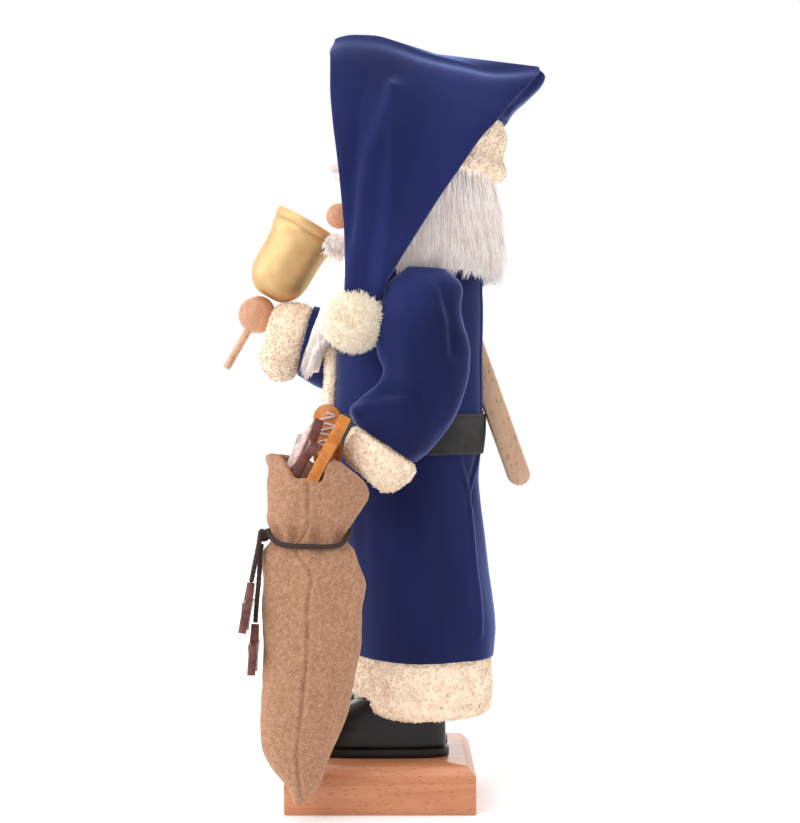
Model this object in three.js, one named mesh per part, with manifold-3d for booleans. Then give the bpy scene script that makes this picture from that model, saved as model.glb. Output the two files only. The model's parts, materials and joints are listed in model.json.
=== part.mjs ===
// A santa nutcracker: a turned wooden figure in a velvet coat and stocking cap, on a square base.
// Millimetres, +Z up. The figure faces -Y and his left side is +X. The origin is the middle of the base's underside.
import * as THREE from "three";
import { LoftGeometry } from "three/addons/geometries/LoftGeometry.js";
import { mergeVertices } from "three/addons/utils/BufferGeometryUtils.js";
import Module from "manifold-3d";

const wasm = await Module();
wasm.setup();

// Driving dimensions

const GAP = 0.4; // between pieces that touch
const FAR = 400; // reaches past the figure from anywhere
const BODY_SIDES = 22; // flats round the coat, head, hair and trims
const LIMB_SIDES = 14; // flats round sleeves, cuffs and the cap's flap
const BALL_AROUND = 14;
const BALL_DOWN = 8;
const BOOT_SIDES = 18;
const BELL_SIDES = 16;
const TUFT_SIDES = { around: 8, down: 5 }; // moustache, brows and the tie's knot

const BASE_SIDE = 110;
const BASE_HEIGHT = 27;
const BASE_CHAMFER = 5;

const SOLE_THICKNESS = 5;
const BOOT_SPREAD = 17; // each boot's middle from the figure's middle
const BOOT_POWER = 3; // squareness of a boot's plan
const SOLE_PLAN = { front: -41, rear: 40.5, halfWide: 13.2 };
const BOOT_STATIONS = [
  { height: 32.7, front: -39.5, rear: 38.5, halfWide: 12.2 },
  { height: 42, front: -38, rear: 38.5, halfWide: 12.5 },
  { height: 50, front: -31, rear: 38.2, halfWide: 12.3 },
  { height: 57, front: -20, rear: 37, halfWide: 12 },
  { height: 62, front: -10, rear: 36, halfWide: 11.5 },
];

const COAT_SEAM = 86; // height where the velvet meets the hem trim
const COAT_UNDERSIDE = 56.4;
const SKIRT_FOLDS = 5;
const SKIRT_FOLD_DEPTH = 1.3;
const SKIRT_FOLD_TOP = 200; // no folds above this height
const COAT_FRONT_AT_BELT = -26.5;
const COAT_STATIONS = [
  { height: COAT_SEAM + GAP, front: -14, rear: 67, halfWide: 49.5 },
  { height: 100, front: -14.5, rear: 68.1, halfWide: 49.5 },
  { height: 119, front: -16, rear: 66.3, halfWide: 49 },
  { height: 138, front: -18, rear: 63.3, halfWide: 47.5 },
  { height: 157, front: -20.5, rear: 60.9, halfWide: 46 },
  { height: 177, front: -22.5, rear: 58.4, halfWide: 44.5 },
  { height: 190, front: -24, rear: 57.4, halfWide: 43.8 },
  { height: 217, front: COAT_FRONT_AT_BELT, rear: 59.8, halfWide: 43.5 },
  { height: 260, front: -25.5, rear: 60, halfWide: 43.5 },
  { height: 300, front: -23.5, rear: 60, halfWide: 43 },
  { height: 311, front: -22, rear: 59, halfWide: 40.5 },
  { height: 317, front: -19, rear: 55, halfWide: 36 },
];
const COAT_NECK = { front: -5.5, rear: 58.5, halfWide: 41.5 }; // the coat's plan inside the hem trim

const HEM_STATIONS = [
  { height: 50.8, front: -9, rear: 61.5, halfWide: 44.5 },
  { height: 53.5, front: -13, rear: 65.5, halfWide: 48.5 },
  { height: 60, front: -15, rear: 67.2, halfWide: 50 },
  { height: 78, front: -15, rear: 67.2, halfWide: 50 },
  { height: COAT_SEAM, front: -14, rear: 66.6, halfWide: 49 },
];

const FRONT_TRIM_HALF = 11;
const FRONT_TRIM_TOP = 272;
const FRONT_TRIM_PROUD = 9;
const FRONT_TRIM_UNDER_BELT = 3.2;

const BELT_LOW = 205;
const BELT_HIGH = 229;
const BELT_THICKNESS = 2;
const BUCKLE = { halfWide: 16, halfTall: 12, bar: 4, thickness: 2.4 };

const HEAD = { low: 317.6, middle: 22, radius: 43, halfWide: 42 };
const NOSE = { y: -25.4, height: 348.3, radius: 7.8 };
const BEARD_TOP = 321; // the moustache lies above it
const MOUSTACHE = { x: 12, y: -25.5, z: 331, halfX: 15, halfY: 8, halfZ: 6.5, droop: 12 }; // each half; droop in degrees
const BROW = { x: 14, y: -22, z: 374.5, halfX: 10, halfY: 7, halfZ: 3.6 };
const CAP_TILT = 0.115; // the cap sits higher at the brow by this slope
const CAP_TRIM_REAR = { y: 77.7, low: 368, high: 403 };
const CAP_TRIM_THICKNESS = 8.5;

const LEVER = {
  pivot: { y: 30, z: 312 },
  openDegrees: 20,
  jawFront: -19,
  jawRear: 44,
  jawLow: 303,
  jawHigh: 324,
  jawHalfWide: 12,
  tailHalfWide: 10,
  tailThickness: 13,
  tailLean: 19.6, // degrees from the vertical
  tailRearAtPivot: 47.1, // where the tail's rear face passes the pivot's height
  tailLength: 131, // from the pivot's height down the rear face
};
const TAIL_END_STEPS = 6;
const SLOT_CLEARANCE = 0.8;
const SLOT_STEPS = 3;

const ARM_BALL_RADIUS = 12;
const RIGHT_HAND = { x: -55, y: -79.4, z: 292 };
const LEFT_HAND = { x: 70, y: -22.5, z: 186 };

const BELL_TILT = 30; // degrees from the vertical, mouth leaning back
const BELL_WALL = 2;
const BELL_FLOOR = 18.5; // the hollow's end, from the hand's middle
const BELL_FLOOR_RADIUS = 10;
// distance along the axis from the hand's middle, and the outer radius there
const BELL_PROFILE = [
  [13.3, 7.5],
  [16, 12],
  [19.5, 15.3],
  [24, 17.6],
  [30, 18.8],
  [44, 19.1],
  [51, 19.6],
  [60.5, 21.4],
  [61.5, 21.9],
  [67, 22.4],
];
const BELL_HANDLE = { radius: 2.4, below: 39.5, above: 12.9 };

const POMPOM = { x: 58, y: -14.7, z: 281.7, radius: 18.75 };

const SACK_X = 76;
const SACK_WALL = 2.5;
const SACK_FLOOR = 168; // the hollow mouth's lowest point, above the tie
const SACK_SIDES = 14;
const TIE = { height: 161, radius: 1.5, sides: 6 };
const NECK = { front: -60, rear: -18.7, halfWide: 14 }; // the sack's plan under the tie
const SACK_STATIONS = [
  { height: 11.6, front: -47.5, rear: -42.5, halfWide: 2.5 },
  { height: 22, front: -51.5, rear: -33.8, halfWide: 11 },
  { height: 34, front: -61, rear: -30, halfWide: 15.5 },
  { height: 43, front: -65, rear: -25.4, halfWide: 17.5 },
  { height: 56, front: -65.5, rear: -20.4, halfWide: 18.5 },
  { height: 95, front: -64, rear: -10.9, halfWide: 18.8 },
  { height: 121, front: -65.5, rear: -10.4, halfWide: 18.8 },
  { height: 136, front: -65.5, rear: -8.1, halfWide: 18.8 },
  { height: 153, front: -65, rear: -14.2, halfWide: 16.5 },
  { ...NECK, height: TIE.height - 2.5 },
  { ...NECK, height: TIE.height + 2.5 },
  { height: 169, front: -62.9, rear: -14.6, halfWide: 18 },
  { height: 179, front: -62.5, rear: -7.2, halfWide: 20.5 },
  { height: 190, front: -62.2, rear: -7, halfWide: 21.5 },
  { height: 204, front: -60, rear: -15, halfWide: 22 },
];
const SACK_RIM_DIP = { y: -48, z: 203, radius: 12 }; // the scoop in the rim where the cookies lean
const SACK_RIM_SLOPE = { highY: -24, highZ: 203, lowY: -4, lowZ: 180 }; // the rim falls to the rear, under the cuff

const TAIL_CORD = { radius: 1.4, sides: 8 };
const TAIL_STAR = { radius: 15.6, thickness: 4.4, inner: 0.5 };
const STAR_CLEARANCE = 0.5; // between a tail's end and its star's tip

// Helpers

const flat = (y, z) => new THREE.Vector2(y, z);
const radians = THREE.MathUtils.degToRad;

// A closed three.js geometry as a solid: only positions are kept, shared corners are merged, and faces with no area go.
function solid(geometry) {
  const bare = new THREE.BufferGeometry();
  bare.setAttribute("position", geometry.getAttribute("position"));
  bare.setIndex(geometry.index);
  const merged = mergeVertices(bare, 1e-4);
  const corners = merged.index.array;
  const kept = [];
  for (let i = 0; i < corners.length; i += 3) {
    const [a, b, c] = corners.slice(i, i + 3);
    if (a !== b && b !== c && a !== c) kept.push(a, b, c);
  }
  return new wasm.Manifold(
    new wasm.Mesh({
      numProp: 3,
      vertProperties: merged.attributes.position.array,
      triVerts: new Uint32Array(kept),
    }),
  );
}

// A solid's largest body as a three.js geometry.
function geometryOf(made) {
  const bodies = made.decompose().sort((a, b) => b.volume() - a.volume());
  const mesh = bodies[0].getMesh();
  const geometry = new THREE.BufferGeometry();
  geometry.setAttribute("position", new THREE.BufferAttribute(mesh.vertProperties, 3));
  geometry.setIndex(new THREE.BufferAttribute(mesh.triVerts, 1));
  const faceted = geometry.toNonIndexed();
  faceted.computeVertexNormals();
  return faceted;
}

const join = (...solids) => solids.reduce((a, b) => a.add(b));
const cut = (first, ...others) => others.reduce((a, b) => a.subtract(b), first);

// A cosine or sine pulled towards a square's, for a round with flatter sides.
const squared = (value, power) => Math.sign(value) * Math.abs(value) ** (2 / power);

// A hoop of points round the line from front to rear (each y, z), halfWide to each side of x.
function hoop({ x = 0, front, rear, halfWide }, { sides, power = 2, grow = 0, wave = () => 0 }) {
  const middle = front.clone().add(rear).multiplyScalar(0.5);
  const reach = rear.clone().sub(front).multiplyScalar(0.5);
  const length = reach.length();
  const along = reach.clone().divideScalar(length);
  return Array.from({ length: sides }, (_, i) => {
    const angle = (2 * Math.PI * i) / sides;
    const out = grow + wave(angle);
    const side = (halfWide + out) * squared(Math.cos(angle), power);
    const back = (length + out) * squared(Math.sin(angle), power);
    return new THREE.Vector3(x + side, middle.x + along.x * back, middle.y + along.y * back);
  });
}

// Whether a ring of points turns to the right as seen along the way from it to another ring.
function facesTowards(ring, other) {
  const middle = (points) => points.reduce((sum, p) => sum.add(p), new THREE.Vector3()).divideScalar(points.length);
  const centre = middle(ring);
  const arm = (i) => ring[i].clone().sub(centre);
  const normal = arm(0).cross(arm(Math.floor(ring.length / 4)));
  return normal.dot(middle(other).sub(centre)) > 0;
}

// A solid through hoops in order, closed at both ends.
function loft(sections) {
  const forward = facesTowards(sections[0], sections[1]);
  const ordered = forward ? sections : sections.map((ring) => [...ring].reverse());
  return solid(new LoftGeometry(ordered, { capStart: true, capEnd: true }));
}

// A solid through level plans, each with a height, a front, a rear and a half width.
function upright(stations, { x = 0, sides = BODY_SIDES, power = 2, grow = 0, wave = () => () => 0 } = {}) {
  return loft(
    stations.map(({ height, front, rear, halfWide }) =>
      hoop(
        { x, front: flat(front, height), rear: flat(rear, height), halfWide },
        { sides, power, grow, wave: wave(height) },
      ),
    ),
  );
}

// A solid through slanted hoops, each row x, half width, front y, front z, rear y, rear z.
function slanted(rows, { sides = LIMB_SIDES, power = 2, grow = 0 } = {}) {
  return loft(
    rows.map(([x, halfWide, frontY, frontZ, rearY, rearZ]) =>
      hoop({ x, front: flat(frontY, frontZ), rear: flat(rearY, rearZ), halfWide }, { sides, power, grow }),
    ),
  );
}

function box(xLow, xHigh, yLow, yHigh, zLow, zHigh) {
  const made = new THREE.BoxGeometry(xHigh - xLow, yHigh - yLow, zHigh - zLow);
  made.translate((xLow + xHigh) / 2, (yLow + yHigh) / 2, (zLow + zHigh) / 2);
  return solid(made);
}

function ball({ x, y, z }, radius, around = BALL_AROUND, down = BALL_DOWN) {
  return solid(new THREE.SphereGeometry(radius, around, down).rotateX(Math.PI / 2).translate(x, y, z));
}

// A ball squashed to its own half sizes, then turned about the y axis.
function pebble({ x, y, z, halfX, halfY, halfZ }, degrees = 0) {
  const made = new THREE.SphereGeometry(1, TUFT_SIDES.around, TUFT_SIDES.down).rotateX(Math.PI / 2);
  return solid(made.scale(halfX, halfY, halfZ).rotateY(radians(degrees)).translate(x, y, z));
}

// A slab between two heights, as wide as anything.
const between = (low, high) => box(-FAR, FAR, -FAR, FAR, low, high);

// Base, boots and soles

function baseBlock() {
  const corner = (half) => half * Math.SQRT2;
  const half = BASE_SIDE / 2;
  const profile = [
    new THREE.Vector2(0, 0),
    new THREE.Vector2(corner(half), 0),
    new THREE.Vector2(corner(half), BASE_HEIGHT - BASE_CHAMFER),
    new THREE.Vector2(corner(half - BASE_CHAMFER), BASE_HEIGHT),
    new THREE.Vector2(0, BASE_HEIGHT),
  ];
  return solid(new THREE.LatheGeometry(profile, 4, Math.PI / 4).rotateX(Math.PI / 2));
}

const boot = (side, grow = 0) =>
  upright(BOOT_STATIONS, { x: side * BOOT_SPREAD, sides: BOOT_SIDES, power: BOOT_POWER, grow });

function sole(side) {
  const bottom = BASE_HEIGHT + 0.3;
  const stations = [
    { ...SOLE_PLAN, height: bottom },
    { ...SOLE_PLAN, height: bottom + SOLE_THICKNESS },
  ];
  return upright(stations, { x: side * BOOT_SPREAD, sides: BOOT_SIDES, power: BOOT_POWER });
}

// Coat: the velvet from the shoulders to the seam, and the narrower part inside the hem trim

function skirtWave(height) {
  const share = THREE.MathUtils.clamp((SKIRT_FOLD_TOP - height) / (SKIRT_FOLD_TOP - COAT_SEAM), 0, 1);
  return (angle) => SKIRT_FOLD_DEPTH * share * Math.cos(SKIRT_FOLDS * angle + 1);
}

function coatEnvelope(grow = 0) {
  const [lowest, ...others] = COAT_STATIONS;
  const stations = [{ ...lowest, height: lowest.height - grow / 2 }, ...others];
  const skin = upright(stations, { grow, wave: skirtWave });
  const neck = upright(
    [
      { ...COAT_NECK, height: COAT_UNDERSIDE - grow },
      { ...COAT_NECK, height: COAT_SEAM + 4 },
    ],
    { grow },
  );
  return join(skin, neck);
}

const hemTrim = () => cut(upright(HEM_STATIONS), coatEnvelope(GAP), boot(1, GAP), boot(-1, GAP));

const frontStrip = (half) => box(-half, half, -FAR, 10, COAT_SEAM + GAP, FRONT_TRIM_TOP);

function frontTrimEnvelope(grow = 0) {
  const proud = coatEnvelope(FRONT_TRIM_PROUD + grow);
  const under = coatEnvelope(FRONT_TRIM_UNDER_BELT + grow);
  const beltZone = between(BELT_LOW - GAP - grow, BELT_HIGH + GAP + grow);
  const strip = frontStrip(FRONT_TRIM_HALF + grow);
  return join(proud.intersect(strip).subtract(beltZone), under.intersect(strip));
}

const frontTrim = () => cut(frontTrimEnvelope(), coatEnvelope(GAP));

function beltEnvelope(grow = 0) {
  const zone = between(BELT_LOW - grow, BELT_HIGH + grow);
  const round = coatEnvelope(GAP + BELT_THICKNESS + grow);
  const bulge = coatEnvelope(FRONT_TRIM_UNDER_BELT + GAP + BELT_THICKNESS + grow).intersect(
    frontStrip(FRONT_TRIM_HALF + GAP + BELT_THICKNESS + grow),
  );
  return join(round, bulge).intersect(zone);
}

function belt() {
  const underStrip = coatEnvelope(FRONT_TRIM_UNDER_BELT + GAP).intersect(frontStrip(FRONT_TRIM_HALF + GAP));
  return cut(beltEnvelope(), coatEnvelope(GAP), underStrip);
}

function buckle() {
  const { halfWide, halfTall, bar, thickness } = BUCKLE;
  const middle = (BELT_LOW + BELT_HIGH) / 2;
  const plate = box(-halfWide, halfWide, -FAR, 0, middle - halfTall, middle + halfTall);
  const hole = box(bar - halfWide, halfWide - bar, -FAR, 0, middle - halfTall + bar, middle + halfTall - bar);
  const prong = box(-bar / 2, halfWide, -FAR, 0, middle - bar / 2, middle + bar / 2);
  const beltFace = COAT_FRONT_AT_BELT - FRONT_TRIM_UNDER_BELT - GAP - BELT_THICKNESS;
  const slab = box(-FAR, FAR, beltFace - GAP - thickness, beltFace - GAP, 0, FAR);
  return join(plate.subtract(hole), plate.intersect(prong)).intersect(slab);
}

// Head and cap

const HEAD_STATIONS = [
  { height: HEAD.low, inset: 3 },
  { height: HEAD.low + 5, inset: 0.6 },
  { height: 345, inset: 0 },
  { height: 420, inset: 0 },
].map(({ height, inset }) => ({
  height,
  front: HEAD.middle - HEAD.radius + inset,
  rear: HEAD.middle + HEAD.radius - inset,
  halfWide: HEAD.halfWide - inset,
}));

const capPlane = (height, y) => height + (CAP_TRIM_REAR.y - y) * CAP_TILT;

// Everything above the slanted plane that passes this height at the trim's rear.
function aboveCapPlane(height) {
  const outline = new THREE.Shape([
    flat(-FAR, capPlane(height, -FAR)),
    flat(FAR, capPlane(height, FAR)),
    flat(FAR, 2 * FAR),
    flat(-FAR, 2 * FAR),
  ]);
  return alongX(outline, FAR);
}

// A y, z outline carried from -half to +half along x.
function alongX(shape, half, steps = 6) {
  const made = new THREE.ExtrudeGeometry(shape, { depth: 2 * half, bevelEnabled: false, curveSegments: steps });
  made.translate(0, 0, -half);
  made.applyMatrix4(new THREE.Matrix4().set(0, 0, 1, 0, 1, 0, 0, 0, 0, 1, 0, 0, 0, 0, 0, 1));
  return solid(made);
}

function headEnvelope(grow = 0) {
  const [lowest, ...others] = HEAD_STATIONS;
  return upright([{ ...lowest, height: lowest.height - 2 * grow }, ...others], { grow });
}
const head = () => cut(headEnvelope(), aboveCapPlane(CAP_TRIM_REAR.high - 0.5), jawSlot());
const nose = () => cut(ball({ x: 0, y: NOSE.y, z: NOSE.height }, NOSE.radius, 12, 8), headEnvelope(GAP));

// The teddy band round the head, in rows of the outline's inset and its share of the band's height.
function capTrimEnvelope(grow = 0) {
  const { y: rear, low, high } = CAP_TRIM_REAR;
  const front = HEAD.middle - HEAD.radius - CAP_TRIM_THICKNESS + 2.5;
  const bulge = [
    [3, 0],
    [0.8, 0.12],
    [2.2, 0.35],
    [0.6, 0.75],
    [2.5, 1],
  ];
  const rows = bulge.map(([inset, share]) => {
    const height = low - grow + share * (high - low + 2 * grow);
    const back = rear - inset * 1.4;
    const brow = front + inset;
    return [0, HEAD.halfWide + CAP_TRIM_THICKNESS - inset, brow, capPlane(height, brow), back, capPlane(height, back)];
  });
  return slanted(rows, { sides: BODY_SIDES, grow });
}

const capTrim = () => cut(capTrimEnvelope(), headEnvelope(GAP));

// The crown rises from the band and flattens into the crest that runs from brow to back.
const CROWN_ROWS = [
  [0, 49, -26.5, 415.9, 76.5, 403.9],
  [2, 47.5, -28.5, 428, 82, 411],
  [7, 41, -30, 438, 90, 418],
  [12, 31, -31, 446, 96.5, 425],
  [16, 18, -30.5, 451.5, 98, 430.5],
  [19, 6, -27, 454.8, 94, 434],
];

// The flap hangs from the crest down his left side and narrows to the pompom.
const FLAP_ROWS = [
  [21, 5, -28, 451, 94, 431.5],
  [33, 6.5, -29.5, 443, 96, 424.5],
  [45, 7, -29.5, 429, 84, 408.5],
  [53, 7, -29, 412, 69, 397],
  [58, 7, -27.5, 397, 57, 388],
  [60.5, 7, -25, 376, 43.5, 367.5],
  [61, 7, -22.7, 354, 31.5, 349],
  [60.5, 7, -21, 331, 18.5, 327],
  [59.5, 6.5, -20.5, 311, 7, 308],
  [58.5, 5.5, -20, 295, -3, 292],
];

const flapEnvelope = (grow = 0) => slanted(FLAP_ROWS, { power: 2.6, grow });

function cap() {
  const crown = slanted(CROWN_ROWS, { sides: BODY_SIDES, power: 2.1 });
  const cloth = join(crown, flapEnvelope());
  return cut(cloth, capTrimEnvelope(GAP), hairEnvelope(GAP), ball(POMPOM, POMPOM.radius + GAP));
}

// Hair, beard, moustache and brows

const HAIR_STATIONS = [
  { height: 304, front: -20, rear: 69.5, halfWide: 47.5 },
  { height: 309, front: -24, rear: 72.5, halfWide: 50 },
  { height: 330, front: -26, rear: 74, halfWide: 51 },
  { height: 352, front: -26, rear: 73.8, halfWide: 51 },
  { height: 376, front: -24, rear: 72.5, halfWide: 49.5 },
];
const HAIR_FRONT_EDGE = -4;

function hairEnvelope(grow = 0) {
  const rear = box(-FAR, FAR, HAIR_FRONT_EDGE - grow, FAR, 0, FAR * 2);
  return upright(HAIR_STATIONS, { grow }).intersect(rear);
}

const hair = () =>
  cut(hairEnvelope(), headEnvelope(GAP), coatEnvelope(GAP), aboveCapPlane(CAP_TRIM_REAR.low - GAP));

const BEARD_STATIONS = [
  { height: 245.5, front: -46.5, rear: -39, halfWide: 5 },
  { height: 252, front: -47.5, rear: -36, halfWide: 12 },
  { height: 267, front: -45, rear: -30, halfWide: 22 },
  { height: 280, front: -42.5, rear: -18, halfWide: 28 },
  { height: 292, front: -39, rear: -14, halfWide: 31 },
  { height: 300, front: -35, rear: -10, halfWide: 32 },
  { height: 310, front: -30, rear: -8, halfWide: 33 },
  { height: BEARD_TOP, front: -26, rear: -8, halfWide: 31 },
];

const beard = () =>
  cut(
    upright(BEARD_STATIONS, { sides: 18, power: 2.4 }),
    coatEnvelope(GAP),
    headEnvelope(GAP),
    frontTrimEnvelope(GAP),
    leverSolid(GAP, GAP),
  );

function moustache() {
  const lobe = (side) => pebble({ ...MOUSTACHE, x: side * MOUSTACHE.x }, side * MOUSTACHE.droop);
  return cut(join(lobe(1), lobe(-1)), headEnvelope(GAP), between(0, BEARD_TOP + GAP));
}

const brow = (side) => cut(pebble({ ...BROW, x: side * BROW.x }), headEnvelope(GAP));

// Jaw lever and the slot it swings in

// The tail board's outline, from above the pivot down to its round end.
function tailOutline(grow) {
  const { pivot, tailLean, tailThickness, tailRearAtPivot, tailLength } = LEVER;
  const lean = radians(tailLean);
  const down = flat(Math.sin(lean), -Math.cos(lean));
  const inward = flat(-Math.cos(lean), -Math.sin(lean));
  const half = tailThickness / 2;
  const top = flat(tailRearAtPivot, pivot.z).addScaledVector(inward, half);
  const spot = (along, across) => top.clone().addScaledVector(down, along).addScaledVector(inward, across);
  const end = spot(tailLength - half, 0);
  const rounding = Array.from({ length: TAIL_END_STEPS + 1 }, (_, i) => {
    const turn = (Math.PI * i) / TAIL_END_STEPS;
    return end
      .clone()
      .addScaledVector(inward, -(half + grow) * Math.cos(turn))
      .addScaledVector(down, (half + grow) * Math.sin(turn));
  });
  return new THREE.Shape([spot(-4, half + grow), spot(-4, -half - grow), ...rounding]);
}

function leverSolid(grow = 0, widen = 0) {
  const { jawHalfWide, tailHalfWide, jawFront, jawRear, jawLow, jawHigh } = LEVER;
  const jaw = box(-jawHalfWide - widen, jawHalfWide + widen, jawFront - grow, jawRear + grow, jawLow - grow, jawHigh + grow);
  const tail = alongX(tailOutline(grow), tailHalfWide + widen);
  return join(jaw, tail);
}

function turned(made, degrees) {
  const { y, z } = LEVER.pivot;
  return made.translate(0, -y, -z).rotate([degrees, 0, 0]).translate(0, y, z);
}

// The lever's whole sweep, a little larger than the lever all round.
function jawSlot() {
  const larger = leverSolid(SLOT_CLEARANCE, SLOT_CLEARANCE);
  const angles = Array.from({ length: SLOT_STEPS + 1 }, (_, i) => (LEVER.openDegrees * i) / SLOT_STEPS);
  return join(...angles.map((degrees) => turned(larger, degrees)));
}

const coat = () => cut(coatEnvelope(), jawSlot());

// Arms: each row is a hoop of the sleeve from shoulder to cuff

const SHOULDER_ROWS = [
  [48, 7, 15, 313.5, 38, 312],
  [54, 14, 5, 304, 46.5, 303],
  [59, 18, 0.5, 290, 47, 287],
];
const LEFT_SLEEVE_ROWS = [
  ...SHOULDER_ROWS,
  [61, 19, -2, 265, 51.5, 262],
  [62, 19, 1.5, 253.5, 50, 246],
  [62, 19, -3, 245.5, 44.5, 230],
  [63, 19, -12, 237, 36, 217],
  [64, 19.5, -17, 230, 27, 206.5],
  [64.5, 18.5, -15, 224.2, 20.8, 201],
];
const LEFT_CUFF_ROWS = [
  [64.5, 18.5, -14.8, 223.6, 20.5, 200.4],
  [64.5, 20.5, -17.5, 219.5, 20.5, 195.5],
  [64.5, 20.5, -21, 210, 11, 186],
  [64.5, 18.5, -21.5, 204.5, 4, 182.5],
];
const RIGHT_SLEEVE_ROWS = [
  ...SHOULDER_ROWS.map(([x, ...rest]) => [-x, ...rest]),
  [-60.5, 19, -2, 279, 48, 262],
  [-61, 19.5, -8, 278, 37, 243],
  [-61, 20, -15, 284, 10, 236.5],
  [-60, 20.5, -27, 291.5, -18, 240],
  [-59, 21, -38, 296.5, -42, 245.5],
  [-58, 20, -43.2, 297.5, -54, 252.5],
];
const RIGHT_CUFF_ROWS = [
  [-58, 20, -43.7, 297.6, -54.5, 252.6],
  [-57.5, 22, -49, 299.4, -61, 249.5],
  [-56.5, 22, -64, 299.6, -75, 255],
  [-56, 20, -68, 298, -78.5, 261],
];

const armCutters = () => [coatEnvelope(GAP), beltEnvelope(GAP), hairEnvelope(GAP)];
const leftCuffEnvelope = (grow = 0) => slanted(LEFT_CUFF_ROWS, { grow });

function bellPlacement() {
  const { x, y, z } = RIGHT_HAND;
  return new THREE.Matrix4().makeTranslation(x, y, z).multiply(new THREE.Matrix4().makeRotationX(-radians(BELL_TILT)));
}

// A profile of radius against distance along the bell's axis, turned round that axis.
function onBellAxis(profile, around) {
  const points = profile.map(([along, radius]) => new THREE.Vector2(radius, along));
  return solid(new THREE.LatheGeometry(points, around).rotateX(Math.PI / 2).applyMatrix4(bellPlacement()));
}

function handleSolid(grow) {
  const { radius, below, above } = BELL_HANDLE;
  return onBellAxis(
    [
      [-below, 0],
      [-below, radius + grow],
      [above, radius + grow],
      [above, 0],
    ],
    8,
  );
}

function bellEnvelope(grow = 0) {
  const [first] = BELL_PROFILE;
  const [last] = BELL_PROFILE.slice(-1);
  const side = BELL_PROFILE.map(([along, radius]) => [along, radius + grow]);
  return onBellAxis(
    [[first[0] - grow, 0], [first[0] - grow, first[1] + grow], ...side, [last[0], 0]],
    BELL_SIDES,
  );
}

function bell() {
  const [last] = BELL_PROFILE.slice(-1);
  const inner = BELL_PROFILE.filter(([along]) => along > BELL_FLOOR + BELL_WALL)
    .map(([along, radius]) => [along, radius - BELL_WALL])
    .slice(0, -1);
  const mouth = [last[0] + 1, last[1] - BELL_WALL];
  const hollow = [[BELL_FLOOR, 0], [BELL_FLOOR, BELL_FLOOR_RADIUS], ...inner, mouth, [mouth[0], 0]];
  return cut(bellEnvelope(), onBellAxis(hollow, BELL_SIDES));
}

const rightHand = () => cut(ball(RIGHT_HAND, ARM_BALL_RADIUS), handleSolid(0.3));
const leftHand = () => ball(LEFT_HAND, ARM_BALL_RADIUS);
const rightCuff = () =>
  cut(slanted(RIGHT_CUFF_ROWS), ball(RIGHT_HAND, ARM_BALL_RADIUS + GAP), handleSolid(GAP), bellEnvelope(GAP));
const leftCuff = () => cut(leftCuffEnvelope(), ball(LEFT_HAND, ARM_BALL_RADIUS + GAP), ...armCutters());
const rightSleeve = () => cut(slanted(RIGHT_SLEEVE_ROWS), ...armCutters());
const leftSleeve = () =>
  cut(slanted(LEFT_SLEEVE_ROWS), ...armCutters(), ball(POMPOM, POMPOM.radius + GAP), flapEnvelope(GAP));

// Cookies: two flat stars and a long one with round ends, standing in the sack's mouth

function starShape(radius, inner) {
  const points = Array.from({ length: 10 }, (_, i) => {
    const reach = i % 2 ? radius * inner : radius;
    const angle = Math.PI / 2 + (Math.PI * i) / 5;
    return flat(reach * Math.cos(angle), reach * Math.sin(angle));
  });
  return new THREE.Shape(points);
}

// A flat shape, upright and facing -Y, then yawed towards +X, leant, and carried to its middle.
function plate(shape, thickness, { x, y, z, yaw, lean }, grow = 0) {
  const made = new THREE.ExtrudeGeometry(shape, {
    depth: thickness + 2 * grow,
    bevelEnabled: grow > 0,
    bevelSize: grow,
    bevelThickness: grow,
    bevelSegments: 1,
    curveSegments: 6,
  });
  made.translate(0, 0, -thickness / 2 - grow).rotateX(Math.PI / 2);
  made.rotateZ(radians(yaw)).rotateX(radians(lean)).translate(x, y, z);
  return solid(made);
}

const COOKIES = {
  cookie_star_orange: { radius: 23.5, thickness: 6.5, place: { x: 84.5, y: -28.8, z: 207.4, yaw: 0, lean: -27.5 } },
  cookie_star_dark: { radius: 20.5, thickness: 5.5, place: { x: 82.5, y: -42.2, z: 208.3, yaw: 16, lean: -28 } },
};
const cookieStar = ({ radius, thickness, place }, grow = 0) => plate(starShape(radius, 0.55), thickness, place, grow);

const LONG_COOKIE = { halfWide: 8, length: 38, thickness: 4, place: { x: 58.3, y: -29.8, z: 215.5, yaw: 80, lean: 0 } };

function longCookie(grow = 0) {
  const { halfWide, length, thickness, place } = LONG_COOKIE;
  const straight = length / 2 - halfWide;
  const shape = new THREE.Shape();
  shape.absarc(0, straight, halfWide, 0, Math.PI);
  shape.absarc(0, -straight, halfWide, Math.PI, 2 * Math.PI);
  return plate(shape, thickness, place, grow);
}

// Sack: solid below the tie, an open mouth above it

const SACK_ROUND = { x: SACK_X, sides: SACK_SIDES, power: 2.2 };
const sackEnvelope = (grow = 0) => upright(SACK_STATIONS, { ...SACK_ROUND, grow });

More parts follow.
